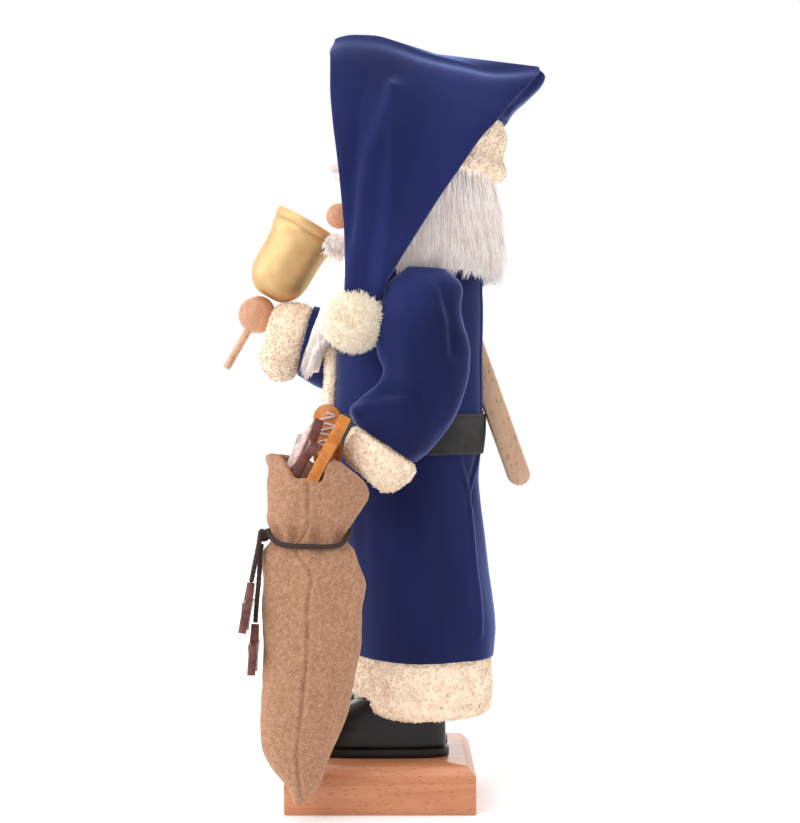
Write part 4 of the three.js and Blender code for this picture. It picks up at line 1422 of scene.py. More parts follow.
    def _placket(self, teddy: Material) -> Object:
        """Returns the strip down the front: rounded sections on the coat, pressed in by the belt."""
        height = rows_between(self.trim_low, self.trim_top, 210)
        free = between(np.abs(height - BELT_MIDDLE), 12.6, 17)
        proud = self.trim_under_belt + (self.trim_proud - 1.2 - self.trim_under_belt) * free
        angle = angles(56)
        across = squashed(np.cos(angle), 0.6)
        back = squashed(np.sin(angle), 0.7)
        x = (self.trim_half - 1.0) * across + 0 * height
        front = self.front(height)
        y = front - proud / 2 - 0.6 + (proud / 2) * back + x**2 / 120
        grid = np.stack([x, y, height + 0 * x], axis=-1)
        rounding = between(height, self.trim_low, 92)
        rounding = rounding * between(-height, -self.trim_top, -self.trim_top + 6)
        middle = np.stack([0 * x, np.broadcast_to(front - proud / 2, x.shape), grid[..., 2]], axis=-1)
        grid = middle + (grid - middle) * (0.55 + 0.45 * rounding)[..., None]
        pile = knobbly(grid, 0.9, self.seed + 4, free * between(-back, -0.3, 0.4))
        body = Body()
        body.grid(pile)
        Curls(1900, 0.75, 0.66).add_to(body, pile, np.random.default_rng(self.seed + 1), free[:, 0])
        return body.make("front_trim", teddy)

    def _belt(self, leather: Material) -> Object:
        """Returns the belt: a softened oblong section round the coat, bulged over the front trim."""
        outside = [(-12, 1.2), (-12, 2.6), (-11.4, 3.1), (-9.8, 3.2), (-9.4, 3.0), (-9.0, 3.2), (0, 3.3)]
        outside = outside + [(-z, out) for z, out in outside[-2::-1]]
        section = np.array(outside + [(11.5, 1.0), (0, 1.0), (-11.5, 1.0)])
        angle = angles(self.around)
        height = (BELT_MIDDLE + section[:, :1]) + 0 * angle
        bare = self.skin(height, angle, 0)
        bulge = 2.35 * between(-np.abs(bare[..., 0]), -15.5, -10) * (np.sin(angle) < 0)
        grid = self.skin(height, angle, section[:, 1:] + bulge)
        return solid("leather_belt", leather, grid, ends=Ends.JOINED, sharp=50)

    def _buckle(self, gold: Material) -> Object:
        """Returns the buckle: a rounded rod round an oblong, with a prong across it."""
        corner, (wide, tall) = self.buckle_corner, self.buckle_half
        angle, aside, above = quarter_rounds(7)
        x = (wide - corner) * aside + corner * np.cos(angle)
        z = BELT_MIDDLE + (tall - corner) * above + corner * np.sin(angle)
        path = np.stack([x, np.full_like(x, self.buckle_y), z], axis=-1)
        outward = np.stack([np.cos(angle), 0 * angle, np.sin(angle)], axis=-1)
        ring = angles(16)
        out = 1.9 * squashed(np.cos(ring), 0.7)[:, None, None] * outward
        deep = squashed(np.sin(ring), 0.7)[:, None, None] * np.array([0, 1, 0])
        rod = path + out + deep
        body = Body()
        body.grid(rod, Ends.JOINED)
        reach = np.linspace(-2, 14.5, 24)
        level = 0 * reach
        prong = np.stack([reach, self.buckle_y - 1 + level, BELT_MIDDLE + level], axis=-1)
        body.grid(tube(prong, 0.9 - 0.3 * between(reach, 9, 14.5), 14))
        return body.make("buckle", gold)


@dataclass
class Arm:
    """One sleeve with its cuff and turned hand."""

    side: Side
    sleeve_rows: Rows
    cuff_rows: Rows
    hand_at: Spot
    hollows: tuple[Crease, ...] = ()
    ridges: tuple[Crease, ...] = ()
    hand_radius: float = 12.0
    seed: int = 31

    def build(self, velvet: Material, teddy: Material, wood: Material) -> None:
        """Makes the three pieces."""
        name = self.side.name.lower()
        sleeve = fit(self._sleeve(velvet), Slot.VELVET, f"sleeve_{name}")
        cuff = fit(self._cuff(teddy), Slot.TEDDY, f"cuff_{name}")
        hand = solid(f"turned_hand_{name}", wood, ball(self.hand_at, (self.hand_radius,) * 3, 40, 56))
        fit(hand, Slot.LACQUERED_BEECH, f"hand_{name}")

    def _sleeve(self, velvet: Material) -> Object:
        """Returns the sleeve with soft bulges, and its hollows and ridges on the outer side.

        Each hollow or ridge is a line of y and z, its height and its width.
        """
        share = rows_between(0, 1, 110)
        angle = angles(112)
        bare = slanted(self.sleeve_rows, share, angle)
        out = 0.9 * noise(bare, (14, 14, 22), self.seed) + 0.35 * noise(bare, 7, self.seed + 1)
        outer = between(self.side.value * np.cos(angle), -0.35, 0.3)
        for line, height, width in self.hollows + self.ridges:
            out = out + outer * height * swell(beside(bare[..., 1:], line), 0, width)
        grid = slanted(self.sleeve_rows, share, angle, out * between(share, 0, 0.05) - 0.5)
        return solid(f"velvet_sleeve_{self.side.name.lower()}", velvet, grid)

    def _cuff(self, teddy: Material) -> Object:
        """Returns the cuff, a fat ring of curls closed round the wrist."""
        share = rows_between(0, 1, 48)
        rounding = -2.2 * swell(share, 0, 0.07) - 2.6 * swell(share, 1, 0.09) - 1.2
        pile = knobbly(slanted(self.cuff_rows, share, angles(150), rounding), 1.0, self.seed + 3)
        body = Body()
        body.grid(pile)
        Curls(1800, 0.85, 0.66).add_to(body, pile, np.random.default_rng(self.seed))
        return body.make(f"teddy_cuff_{self.side.name.lower()}", teddy)


@dataclass
class Bell:
    """The satin gold bell on its beech handle."""

    hand_at: Spot = (-55.0, -79.4, 292.0)
    tilt: float = 30.0
    profile: Rows = (
        (13.3, 2.0), (13.3, 6.4), (13.9, 8.6), (16, 12), (19.5, 15.3), (24, 17.6), (30, 18.8), (37, 19.0),
        (44, 19.1), (51, 19.6), (60.4, 21.2), (60.7, 21.1), (61.1, 21.7), (61.6, 22.0), (66.5, 22.6),
        (67, 22.3), (67, 21.3), (66.3, 20.6), (60.4, 19.3), (51, 17.6), (44, 17.1), (30, 16.8),
        (24.5, 15.5), (20.6, 12.5), (18.8, 9.5), (18.5, 7.0), (18.5, 2.0),
    )
    handle_radius: float = 2.4
    handle: tuple[float, float] = (-39.5, 12.9)

    def build(self, gold: Material, wood: Material) -> None:
        """Makes the bell and its handle."""
        fit(solid("gold_bell", gold, self._carry(self._profile()), sharp=38), Slot.GOLD, "bell")
        (low, high), radius = self.handle, self.handle_radius
        rod = [(low, radius - 0.7), (low + 0.4, radius - 0.15), (low + 1.2, radius)]
        rod = rod + [(low + 3 + step * (high - low - 4) / 12, radius) for step in range(13)]
        fit(solid("bell_dowel", wood, self._carry(turned(rod, 28))), Slot.PALE_BEECH, "bell_handle")

    def _profile(self) -> Array:
        """Returns the bell round the z axis, with more rows read along its profile's chords."""
        table = np.array(self.profile)
        reach = chords(table)
        fine = np.unique(np.concatenate([reach, np.linspace(0, reach[-1], 70)]))
        return turned(spline(reach, table, fine), 96)

    def _carry(self, grid: Array) -> Array:
        """Returns a shape round z, tilted towards +Y and carried to the hand."""
        s, c = math.sin(math.radians(self.tilt)), math.cos(math.radians(self.tilt))
        x, y, z = grid[..., 0], grid[..., 1], grid[..., 2]
        return np.stack([x, z * s + y * c, z * c - y * s], axis=-1) + np.array(self.hand_at)


@dataclass
class Head:
    """The turned head with its nose and painted face."""

    rows: Rows = ((317.6, 3.0), (322.6, 0.6), (345.0, 0.0), (420.0, 0.0))
    front: float = -21.0
    rear: float = 65.0
    half: float = 42.0
    top: float = 402.3
    notch_half: float = 15.0
    notch_top: float = 324.9
    nose: tuple[float, float, float, float] = (0.0, -25.4, 348.3, 7.8)

    def skin(self, height: Array, angle: Array, out: Array | float) -> Array:
        """Returns the head's surface, moved outwards."""
        rows = [(z, self.front + inset, self.rear - inset, self.half - inset) for z, inset in self.rows]
        return upright(rows, height, angle, out)

    def front_at(self, x: Array) -> Array:
        """Returns the y of the head's front across it: middle - reach sqrt(1 - (x / half)^2)."""
        reach = (self.rear - self.front) / 2
        return self.front + reach - reach * np.sqrt(np.clip(1 - (x / self.half) ** 2, 0, 1))

    def build(self, skin: Material, wood: Material) -> None:
        """Makes the head and the nose."""
        rounded = [317.6, 317.9, 318.6, 320.0, 321.4]
        height = np.concatenate([rounded, np.linspace(323, self.top, 40)])[:, None]
        side = self.skin(height, angles(128), 0)
        shrink = np.linspace(0.03, 0.97, 24)[:, None, None]
        middle = side[0].mean(0)
        under = middle + (side[0] - middle) * shrink
        grid = np.concatenate([under, side])
        roof = self.notch_top + 0.37 * np.clip(grid[..., 1] - 26, 0, 20)
        notch = (np.abs(grid[..., 0]) < self.notch_half) & (grid[..., 2] < roof)
        grid[..., 2] = np.where(notch, roof, grid[..., 2])
        fit(solid("turned_head", skin, grid, sharp=50), Slot.SKIN, "head")
        x, y, z, radius = self.nose
        round_nose = ball((x, y, z), (radius,) * 3, 32, 44)
        round_nose[..., 1] = np.minimum(round_nose[..., 1], self.front_at(round_nose[..., 0]) - 0.3)
        fit(solid("ball_nose", wood, round_nose), Slot.LACQUERED_BEECH, "nose")


@dataclass
class JawLever:
    """The board that is the lower jaw in front and a handle behind, pivoted in the body."""

    pivot: tuple[float, float] = (30.0, 312.0)
    lean: float = 19.6
    thick: float = 13.0
    rear_at_pivot: float = 47.1
    length: float = 131.0
    tail_half: float = 10.0
    jaw_half: float = 12.0
    jaw: tuple[float, float, float, float] = (-19.0, 44.0, 303.0, 324.0)
    jaw_soften: float = 0.6
    soften: float = 1.6

    def build(self, wood: Material) -> None:
        """Makes the lever."""
        low_y, high_y, low_z, high_z = self.jaw
        share = np.linspace(0, 1, 12)[:, None]
        corners = np.array([(low_y, low_z), (high_y, low_z), (high_y, high_z), (low_y, high_z)], float)
        edges = corners[:, None] * (1 - share) + np.roll(corners, -1, axis=0)[:, None] * share
        jaw = self._through_x(plate(edges[:, :-1].reshape(-1, 2), self.jaw_half, self.jaw_soften))
        tail = self._through_x(plate(self._tail(), self.tail_half, self.soften))
        fit(solid("jaw_board", wood, jaw, tail, sharp=40), Slot.PALE_BEECH, "jaw_lever", body="jaw")

    def _tail(self) -> Array:
        """Returns the tail's outline: two straight sides and a half round end, leaning back."""
        lean = math.radians(self.lean)
        down = np.array([math.sin(lean), -math.cos(lean)])
        inward = np.array([-math.cos(lean), -math.sin(lean)])
        half = self.thick / 2
        top = np.array([self.rear_at_pivot, self.pivot[1]]) + inward * half
        reach = np.linspace(-3.6, self.length - half, 40)
        turn = np.linspace(0, math.pi, 17)[1:-1]
        along = np.concatenate([reach, self.length - half + half * np.sin(turn), reach[::-1]])
        across = np.concatenate([np.full(40, -half), -half * np.cos(turn), np.full(40, half)])
        return top + along[:, None] * down + across[:, None] * inward

    @staticmethod
    def _through_x(grid: Array) -> Array:
        """Returns a plate whose outline lies in y and z."""
        return np.stack([grid[..., 2], grid[..., 0], grid[..., 1]], axis=-1)


@dataclass
class Whiskers:
    """Long white fur: the hair round the back, the beard, the moustache and the brows."""

    hair_rows: Rows = (
        (304, -20, 69.5, 47.5),
        (309, -24, 72.5, 50),
        (330, -26, 74, 51),
        (352, -26, 73.8, 51),
        (376, -24, 72.5, 49.5),
    )
    hair_edge: float = -4.0
    beard_rows: Rows = (
        (245.5, -46.5, -39, 5),
        (252, -47.5, -36, 12),
        (267, -45, -30, 22),
        (280, -42.5, -18, 28),
        (292, -39, -14, 31),
        (300, -35, -10, 32),
        (310, -30, -8, 33),
        (321, -26, -8, 31),
    )
    hairs: int = 6600
    beard_hairs: int = 3700
    seed: int = 51

    def build(self, fur: Material, head: Head, coat: Coat) -> None:
        """Makes them, leaving the beard on no body."""
        fit(self._hair(fur, head), Slot.FUR, "hair")
        beard = fit(self._beard(fur, head, coat), Slot.FUR, "beard", body=None)
        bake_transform(beard)
        fit(self._moustache(fur, head), Slot.FUR, "moustache")
        for side in Side:
            fit(self._brow(fur, head, side), Slot.FUR, f"brow_{side.name.lower()}")

    def _hair(self, fur: Material, head: Head) -> Object:
        """Returns the hair: a shell round the back of the head, and long fur that hangs from it.

        The shell's section at each angle runs up its outer wall and down its inner one.
        """
        rng = np.random.default_rng(self.seed)
        angle = np.linspace(-0.36, math.pi + 0.36, 110)[:, None]
        up = np.linspace(0, 1, 30)
        share = np.concatenate([up, up[::-1]])
        inside = np.repeat([False, True], len(up))
        sketch = upright(self.hair_rows, np.full_like(angle, 340.0), angle, -3)
        top = cap_plane(370.5, sketch[..., 1])
        height = 313 + (top - 313) * share
        closer = -3.2 - 1.6 * between(np.sin(angle), 0.3, 0.9) - 1.5 * swell(share, 0, 0.1)
        outer = upright(self.hair_rows, height, angle, closer)
        inner = head.skin(height, angle, 0.7)
        shell = np.where(inside[:, None], inner, outer)
        keep_back = shell[..., 1] < self.hair_edge + 1
        shell[..., 1] = np.where(keep_back, self.hair_edge + 1, shell[..., 1])
        body = Body()
        body.grid(shell)
        outside = shell[:, : len(up)].transpose(1, 0, 2)
        weight = 1 + 3 * between(np.linspace(0, 1, len(outside)), 0.7, 0.95)
        roots, normal = scattered(outside, self.hairs, rng, weight, wrap=False)
        tip = rng.uniform(308, 320, len(roots)) - 3 * between(roots[:, 1], 40, 66)
        length = np.minimum(roots[:, 2] - tip, rng.uniform(26, 46, len(roots)))
        length = np.maximum(length, 7)
        flow = unit(np.array([0, 0, -1]) + 0.05 * normal + 0.07 * rng.normal(size=normal.shape))
        fur_coat = LongFur(0.46, lift=0.1, sway=0.12, lock=14, pull=0.35)
        fur_coat.add_to(body, roots, normal, flow, length, rng)
        return body.make("long_hair", fur)

    def _beard(self, fur: Material, head: Head, coat: Coat) -> Object:
        """Returns the beard: a body against the coat and chin, and locks that narrow to its tip."""
        rng = np.random.default_rng(self.seed + 1)
        height = rows_between(254, 320.4, 46)
        grid = upright(self.beard_rows, height, angles(90), -2.6, power=2.4)
        x, z = grid[..., 0], grid[..., 2]
        table = np.array(coat.rows)
        plan = spline(table[:, 0], table[:, 1:], z)
        reach = (plan[..., 1] - plan[..., 0]) / 2
        coat_front = plan[..., 0] + reach - reach * np.sqrt(np.clip(1 - (x / plan[..., 2]) ** 2, 0, 1))
        over_trim = between(-np.abs(x), -13.5, -11) * (z < coat.trim_top + 1.5)
        placket = coat_front - over_trim * (coat.trim_proud + 1.2)
        back = np.where(z < 317.2, placket - 1.8, np.minimum(head.front_at(x) - 0.6, -19.8))
        jaw_front = np.where(np.abs(x) < 13.2, -19.8, 50)
        back = np.where(z > 302, np.minimum(back, jaw_front), back)
        grid[..., 1] = np.minimum(grid[..., 1], back)
        body = Body()
        body.grid(grid)
        roots, normal = scattered(grid, 6400, rng)
        forward = normal[:, 1] < 0.25
        roots, normal = roots[forward][: self.beard_hairs], normal[forward][: self.beard_hairs]
        side = np.abs(roots[:, 0])
        edge = np.interp(side, [0, 5, 11, 20, 27, 32], [251, 252, 256, 268, 281, 299])
        count = len(roots)
        length = np.minimum(roots[:, 2] - edge + rng.uniform(-2, 5, count), rng.uniform(20, 38, count))
        flow = np.stack([-0.006 * roots[:, 0], np.full(count, -0.2), np.full(count, -1.0)], axis=-1)
        flow = unit(flow + 0.06 * rng.normal(size=flow.shape))
        fur_coat = LongFur(0.42, lift=0.14, sway=0.12, lock=20, pull=0.5)
        fur_coat.add_to(body, roots, normal, flow, np.maximum(length, 5), rng)
        return body.make("long_beard", fur)

    def _moustache(self, fur: Material, head: Head) -> Object:
        """Returns the moustache: two drooping lobes, their fur swept outwards from the middle."""
        rng = np.random.default_rng(self.seed + 2)
        body = Body()
        for side in Side:
            droop = math.radians(12) * side.value
            lobe = ball((0, 0, 0), (13.4, 6.6, 5.0), 24, 36)
            x = lobe[..., 0] * math.cos(droop) + lobe[..., 2] * math.sin(droop)
            z = lobe[..., 2] * math.cos(droop) - lobe[..., 0] * math.sin(droop)
            grid = np.stack([x + side.value * 12, lobe[..., 1] - 25.5, z + 331], axis=-1)
            grid[..., 1] = np.minimum(grid[..., 1], head.front_at(grid[..., 0]) - 0.5)
            body.grid(grid)
            roots, normal = scattered(grid, 900, rng)
            forward = normal[:, 1] < 0.2
            roots, normal = roots[forward], normal[forward]
            flow = unit(np.array([side.value * 0.9, -0.1, -0.35]) + 0.18 * rng.normal(size=normal.shape))
            reach = side.value * roots[:, 0]
            length = np.clip(27 - reach, 4, 11) * rng.uniform(0.7, 1.1, len(roots))
            fur_coat = LongFur(0.36, lift=0.2, sway=0.1, lock=14, pull=0.35, steps=5)
            fur_coat.add_to(body, roots, normal, flow, length, rng)
        return body.make("fur_moustache", fur)

    def _brow(self, fur: Material, head: Head, side: Side) -> Object:
        """Returns one brow, its fur swept outwards and up."""
        rng = np.random.default_rng(self.seed + 3)
        grid = ball((side.value * 14, -22, 374.5), (9, 5.6, 2.8), 18, 30)
        grid[..., 1] = np.minimum(grid[..., 1], head.front_at(grid[..., 0]) - 0.4)
        body = Body()
        body.grid(grid)
        roots, normal = scattered(grid, 420, rng)
        forward = normal[:, 1] < 0.1
        roots, normal = roots[forward], normal[forward]
        flow = unit(np.array([side.value * 0.75, -0.55, 0.1]) + 0.25 * rng.normal(size=normal.shape))
        length = rng.uniform(3, 7, len(roots))
        fur_coat = LongFur(0.3, lift=0.3, sway=0.15, lock=16, pull=0.5)
        fur_coat.add_to(body, roots, normal, flow, length, rng)
        return body.make(f"fur_brow_{side.name.lower()}", fur)


def cap_plane(height: Array | float, y: Array) -> Array:
    """Returns the heights of a level of the cap's tilted edge, which rises towards the front."""
    return height + (CAP_EDGE_REAR - y) * CAP_EDGE_SLOPE


@dataclass
class Cap:
    """The velvet stocking cap, folded over to his left, with its trim and pompom."""

    crown_rows: Rows = (
        (0, 49, -26.5, 415.9, 76.5, 403.9),
        (2, 47.5, -28.5, 428, 82, 411),
        (5, 39, -30, 438, 90, 418),
        (7, 26, -31, 446, 96.5, 425),
        (12, 14, -30.5, 451.5, 98, 430.5),
        (17, 5, -27, 454.4, 94, 433.6),
    )
    flap_rows: Rows = (
        (17.5, 6.5, -27.6, 455, 94.4, 434.4),
        (21, 6, -28, 452, 94.5, 431.5),
        (33, 6.5, -29.5, 443, 90, 424.5),
        (45, 7, -29.5, 429, 77, 408.5),
        (53, 7, -29, 412, 67.5, 397),
        (58, 7, -27.5, 397, 59, 387.5),
        (60.5, 7, -25, 376, 45.5, 367.5),
        (61, 7, -22.7, 354, 32.8, 349),
        (60.5, 7, -21, 331, 18.5, 327),
        (59.5, 6.5, -20.5, 311, 7, 308),
        (58.5, 5.5, -20, 295, -3, 292),
    )
    trim_rows: Rows = ((3, 0), (0.8, 0.12), (2.2, 0.35), (0.6, 0.75), (2.5, 1))
    trim_front: float = -27.0
    trim_half: float = 50.5
    trim_low: float = 368.0
    trim_tall: float = 35.0
    pompom_at: Spot = (58.0, -14.7, 281.7)
    pompom_radius: float = 18.75
    seed: int = 71

    def build(self, velvet: Material, teddy: Material, wool: Material) -> None:
        """Makes the cap, its trim and its pompom."""
        cap = fit(solid("velvet_cap", velvet, self._crown(), self._flap()), Slot.VELVET, "cap")
        trim = fit(self._trim(teddy), Slot.TEDDY, "cap_trim")
        pompom = fit(self._pompom(wool), Slot.TEDDY, "pompom")

    def _crown(self) -> Array:
        """Returns the crown, with a tuck on its left side under the flap."""
        share = rows_between(0, 1, 60)
        angle = angles(160)
        bare = slanted(self.crown_rows, share, angle, power=2.1)
        out = 0.8 * noise(bare, (20, 24, 16), self.seed)
        tuck = beside(bare[..., 1:], ((93, 426), (82, 412), (70, 403)))
        out = out - 3.5 * swell(tuck, 0, 3.5) * between(bare[..., 0], 12, 22)
        out = out * between(share, 0, 0.1) - 0.6
        return self._sagged(slanted(self.crown_rows, share, angle, out, 2.1))

    def _flap(self) -> Array:
        """Returns the flap that hangs from the crown's crest, with long soft folds.

        Its folds are bell-shaped ridges and a valley along lines of y and z, on its outer side.
        """
        front_ridge = ((8, 415), (2.9, 398), (-6, 372), (-10, 338), (-15.6, 299))
        rear_ridge = ((9, 415), (8, 390), (7, 361), (3, 327), (-1.5, 293))
        valley = ((-10, 420), (-14, 385), (-18, 330))
        share = rows_between(0, 1, 150)
        angle = angles(144)
        bare = slanted(self.flap_rows, share, angle, power=2.6)
        outer = between(np.cos(angle), -0.1, 0.5)
        flat = bare[..., 1:]
        out = 0.7 * noise(bare, (14, 30, 40), self.seed + 1)
        out = out + 2.8 * outer * swell(beside(flat, front_ridge), 0, 4.6)
        out = out + 2.8 * outer * swell(beside(flat, rear_ridge), 0, 4.2)
        out = out - 1.6 * outer * swell(beside(flat, valley), 0, 5)
        out = out * between(share, 0, 0.06) - 0.4
        return self._sagged(slanted(self.flap_rows, share, angle, out, 2.6))

    @staticmethod
    def _sagged(grid: Array) -> Array:
        """Returns the cloth let down along its crest, by the spline of these drops over y."""
        y, z = grid[..., 1], grid[..., 2]
        crest = 454.8 - 0.172 * (y + 27)
        drops = [(-31, 6), (-26, 3.5), (-20, 1.2), (-10, -0.5), (0, -1.1), (8, 0.3), (24, 3.9)]
        drops = drops + [(36, 5.2), (49, 6), (64, 6.8), (79, 3.9), (90, 0.6), (99, 0)]
        table = np.array(drops)
        sag = spline(table[:, 0], table[:, 1:], y)[..., 0] * between(z - crest, -26, 0)
        return np.stack([grid[..., 0], y, z - sag], axis=-1)

    def _trim(self, teddy: Material) -> Object:
        """Returns the trim, a tilted ring of curls round the head."""
        table = np.array(self.trim_rows)
        share = rows_between(0.02, 0.98, 46)
        inset = spline(table[:, 1], table[:, :1], share)[..., 0] + 1.3
        angle = angles(300)
        outer = self._ring(inset, share, angle)
        inner = self._ring(np.full((6, 1), 7.5), rows_between(0.97, 0.03, 6), angle)
        pile = knobbly(outer, 0.9, self.seed + 2)
        body = Body()
        body.grid(np.concatenate([pile, inner]), Ends.JOINED)
        Curls(4000, 0.75, 0.66).add_to(body, pile, np.random.default_rng(self.seed))
        return body.make("teddy_cap_trim", teddy)

    def _ring(self, inset: Array, share: Array, angle: Array) -> Array:
        """Returns rounds of the trim, each level in plan and lifted onto the cap's tilted plane."""
        front, rear, half = self.trim_front + inset, CAP_EDGE_REAR - 1.4 * inset, self.trim_half - inset
        x = half * np.cos(angle)
        y = (front + rear) / 2 + (rear - front) / 2 * np.sin(angle)
        return np.stack([x, y, cap_plane(self.trim_low + self.trim_tall * share, y)], axis=-1)

    def _pompom(self, wool: Material) -> Object:
        """Returns the pompom: a ball with short wool standing out of it all round."""
        rng = np.random.default_rng(self.seed + 4)
        radius = self.pompom_radius - 2.6
        grid = knobbly(ball(self.pompom_at, (radius,) * 3, 56, 96), 0.8, self.seed + 5)
        body = Body()
        body.grid(grid)
        roots, normal = scattered(grid, 5400, rng)
        flow = unit(normal + 0.3 * rng.normal(size=normal.shape))
        length = rng.uniform(3.0, 4.4, len(roots))
        fur = LongFur(0.48, lift=0, sway=0.25, lock=7, pull=0.35)
        fur.add_to(body, roots, normal, flow, length, rng)
        return body.make("wool_pompom", wool)


@dataclass
class Sack:
    """The felt sack with its tie, cord tails, cookies and small stars."""

    x: float = 76.0
    power: float = 2.2
    rows: Rows = (
        (11.6, -47.5, -42.5, 2.5),
        (22, -51.5, -33.8, 11),
        (34, -61, -30, 15.5),
        (43, -65, -25.4, 17.5),
        (56, -65.5, -20.4, 18.5),
        (95, -64, -10.9, 18.8),
        (121, -65.5, -10.4, 18.8),
        (136, -65.5, -8.1, 18.8),
        (153, -65, -14.2, 16.5),
        (158.5, -60, -18.7, 14),
        (163.5, -60, -18.7, 14),
        (169, -62.9, -14.6, 18),
        (179, -62.5, -7.2, 20.5),
        (190, -62.2, -7, 21.5),
        (204, -60, -15, 22),
    )
    rim: Rows = (
        (-90, 204.5), (-65, 206), (-46, 205), (-33, 200.5), (-24, 194), (-8, 192.8), (6, 191.2),
        (16, 198), (27, 202.3), (40, 201.5), (55, 196), (72, 190), (90, 184), (110, 181),
        (140, 181), (165, 190), (180, 199), (215, 204), (240, 205),
    )
    seam: Rows = (
        (18, -43.2), (42, -44.8), (57.5, -43.2), (78, -41), (96, -39.4), (124, -38.8), (146, -39.4),
        (152, -44.8), (166, -39.4), (187, -38.8), (206, -38.5),
    )
    dents: Rows = ((-13, 143), (-16, 182))
    wall: float = 2.5
    floor: float = 168.0
    tie_radius: float = 1.5
    tie_height: float = 163.6
    knot_at: Spot = (77.0, -64.2, 161.5)
    orange_at: Standing = Standing(84.5, -28.8, 207.4, 0, -27.5)
    dark_at: Standing = Standing(82.5, -42.2, 208.3, 16, -28)
    long_at: Standing = Standing(58.3, -29.8, 215.5, 80)
    seed: int = 91

    def rim_at(self, angle: Array) -> Array:
        """Returns the mouth's height at an angle, smooth all the way round."""
        table = np.array(self.rim, float)
        knots = np.radians(np.concatenate([table[:, 0] - 360, table[:, 0], table[:, 0] + 360]))
        return spline(knots, np.tile(table[:, 1:], (3, 1)), angle)[..., 0]

    def out_at(self, bare: Array, angle: Array) -> Array:
        """Returns how far the felt stands out: gathers at the tie, dents, slack and the seam.

        The gathers are 1.6 cos 9a within a bell curve about the tie. The seam is a narrow
        valley between two low ridges down the near side.
        """
        y, z = bare[..., 1], bare[..., 2]
        out = 1.5 * swell(z, 161, 12) * np.cos(9 * angle + 1.2 * np.sin(2 * angle))
        out = out + 1.1 * noise(bare, (16, 16, 28), self.seed) + 0.35 * noise(bare, 6, self.seed + 1)
        for dent_y, dent_z in self.dents:
            out = out - 2.5 * swell(np.hypot(y - dent_y, z - dent_z), 0, 7)
        table = np.array(self.seam)
        aside = y - spline(table[:, 0], table[:, 1:], z)[..., 0]
        near = between(np.cos(angle), 0.1, 0.4)
        out = out + near * (0.5 * swell(np.abs(aside), 2.3, 1.3) - 1.1 * swell(aside, 0, 0.8))
        rolled = 1.3 + 1.5 * between(-np.sin(angle), 0.4, 0.9)
        return out * between(z, 11, 24) + rolled * swell(self.rim_at(angle) - z, 0, 4.5)

    def build_bag(self, felt: Material) -> None:
        """Makes the sack: up its outside, over the mouth's round edge and down its inside."""
        angle = angles(200)
        rim = self.rim_at(angle)
        bottom = self.rows[0][0]
        outside = bottom + (rim - bottom) * rows_between(0, 1, 130)
        turn = np.linspace(0.15, 1, 7)[:, None] * math.pi
        lip = rim + self.wall / 2 * np.sin(turn)
        inside = rim + (self.floor - rim) * rows_between(0.02, 1, 26)
        height = np.concatenate([outside, lip, inside])
        over_lip = -self.wall / 2 * (1 - np.cos(turn)) + 0 * rim
        inset = np.concatenate([0 * outside, over_lip, -self.wall + 0 * inside])
        bare = upright(self.rows, height, angle, 0, self.x, self.power)
        out = self.out_at(bare, angle) * (inset > -self.wall + 0.01) + inset
        out = out + (inset <= -self.wall + 0.01) * self.out_at(bare, angle) * 0.6
        grid = upright(self.rows, height, angle, out, self.x, self.power)
        sack = fit(solid("felt_sack", felt, grid, sharp=70), Slot.FELT, "sack")

    def build_tie(self, cord: Material) -> None:
        """Makes the ring round the neck, slack on the near side, with its knot."""
        angle = angles(170)
        near, nearest = between(np.cos(angle), -0.1, 1.0), between(np.cos(angle), 0, 0.6)
        height = self.tie_height - 7.2 * near - 0.9 * np.sin(angle) * nearest
        path = upright(self.rows, height, angle, self.tie_radius + 0.9, self.x, self.power)
        body = Body()
        body.grid(cord_tube(np.concatenate([path, path[:1]]), self.tie_radius, 42)[:-1], Ends.JOINED)
        turn = np.linspace(0, 1, 90)
        x, y, z = self.knot_at
        x = x + 2.3 * np.sin(TURN * turn * 2) + 0.8 * np.sin(TURN * turn * 3)
        y = y - 1.5 * np.cos(TURN * turn * 3)
        z = z + 2.2 * np.cos(TURN * turn * 2)
        knot = np.stack([x, y, z], axis=-1)
        body.grid(tube(knot, 1.4, 12, reference=(0.2, 1, 0.1)))
        fit(body.make("sack_cord", cord), Slot.CORD, "sack_tie")

    def build_cookies(self, orange: Material, brown: Material, icing: Material) -> None:
        """Makes the two star cookies and the long one, and the icing on two of them."""
        grid = self.orange_at.place(plate(star(23.5, 0.55, 9), 3.25, 0.7))
        fit(solid("orange_star", orange, grid, sharp=40), Slot.ORANGE, "cookie_star_orange")
        grid = self.dark_at.place(plate(star(20.5, 0.55, 9), 2.75, 0.5))
        fit(solid("dark_star", brown, grid, sharp=40), Slot.BROWN, "cookie_star_dark")
        fit(self._patch(self.dark_at, icing), Slot.BROWN)
        half, straight = 8.0, 11.0
        turn = np.linspace(0, math.pi, 17)
        arc = np.stack([half * np.cos(turn), half * np.sin(turn) + straight], axis=-1)
        grid = self.long_at.place(plate(np.concatenate([arc, -arc]), 2.0, 0.6))
        fit(solid("long_cookie", orange, grid, sharp=40), Slot.ORANGE, "cookie_long")
        fit(self._piping(self.long_at, icing), Slot.ORANGE)

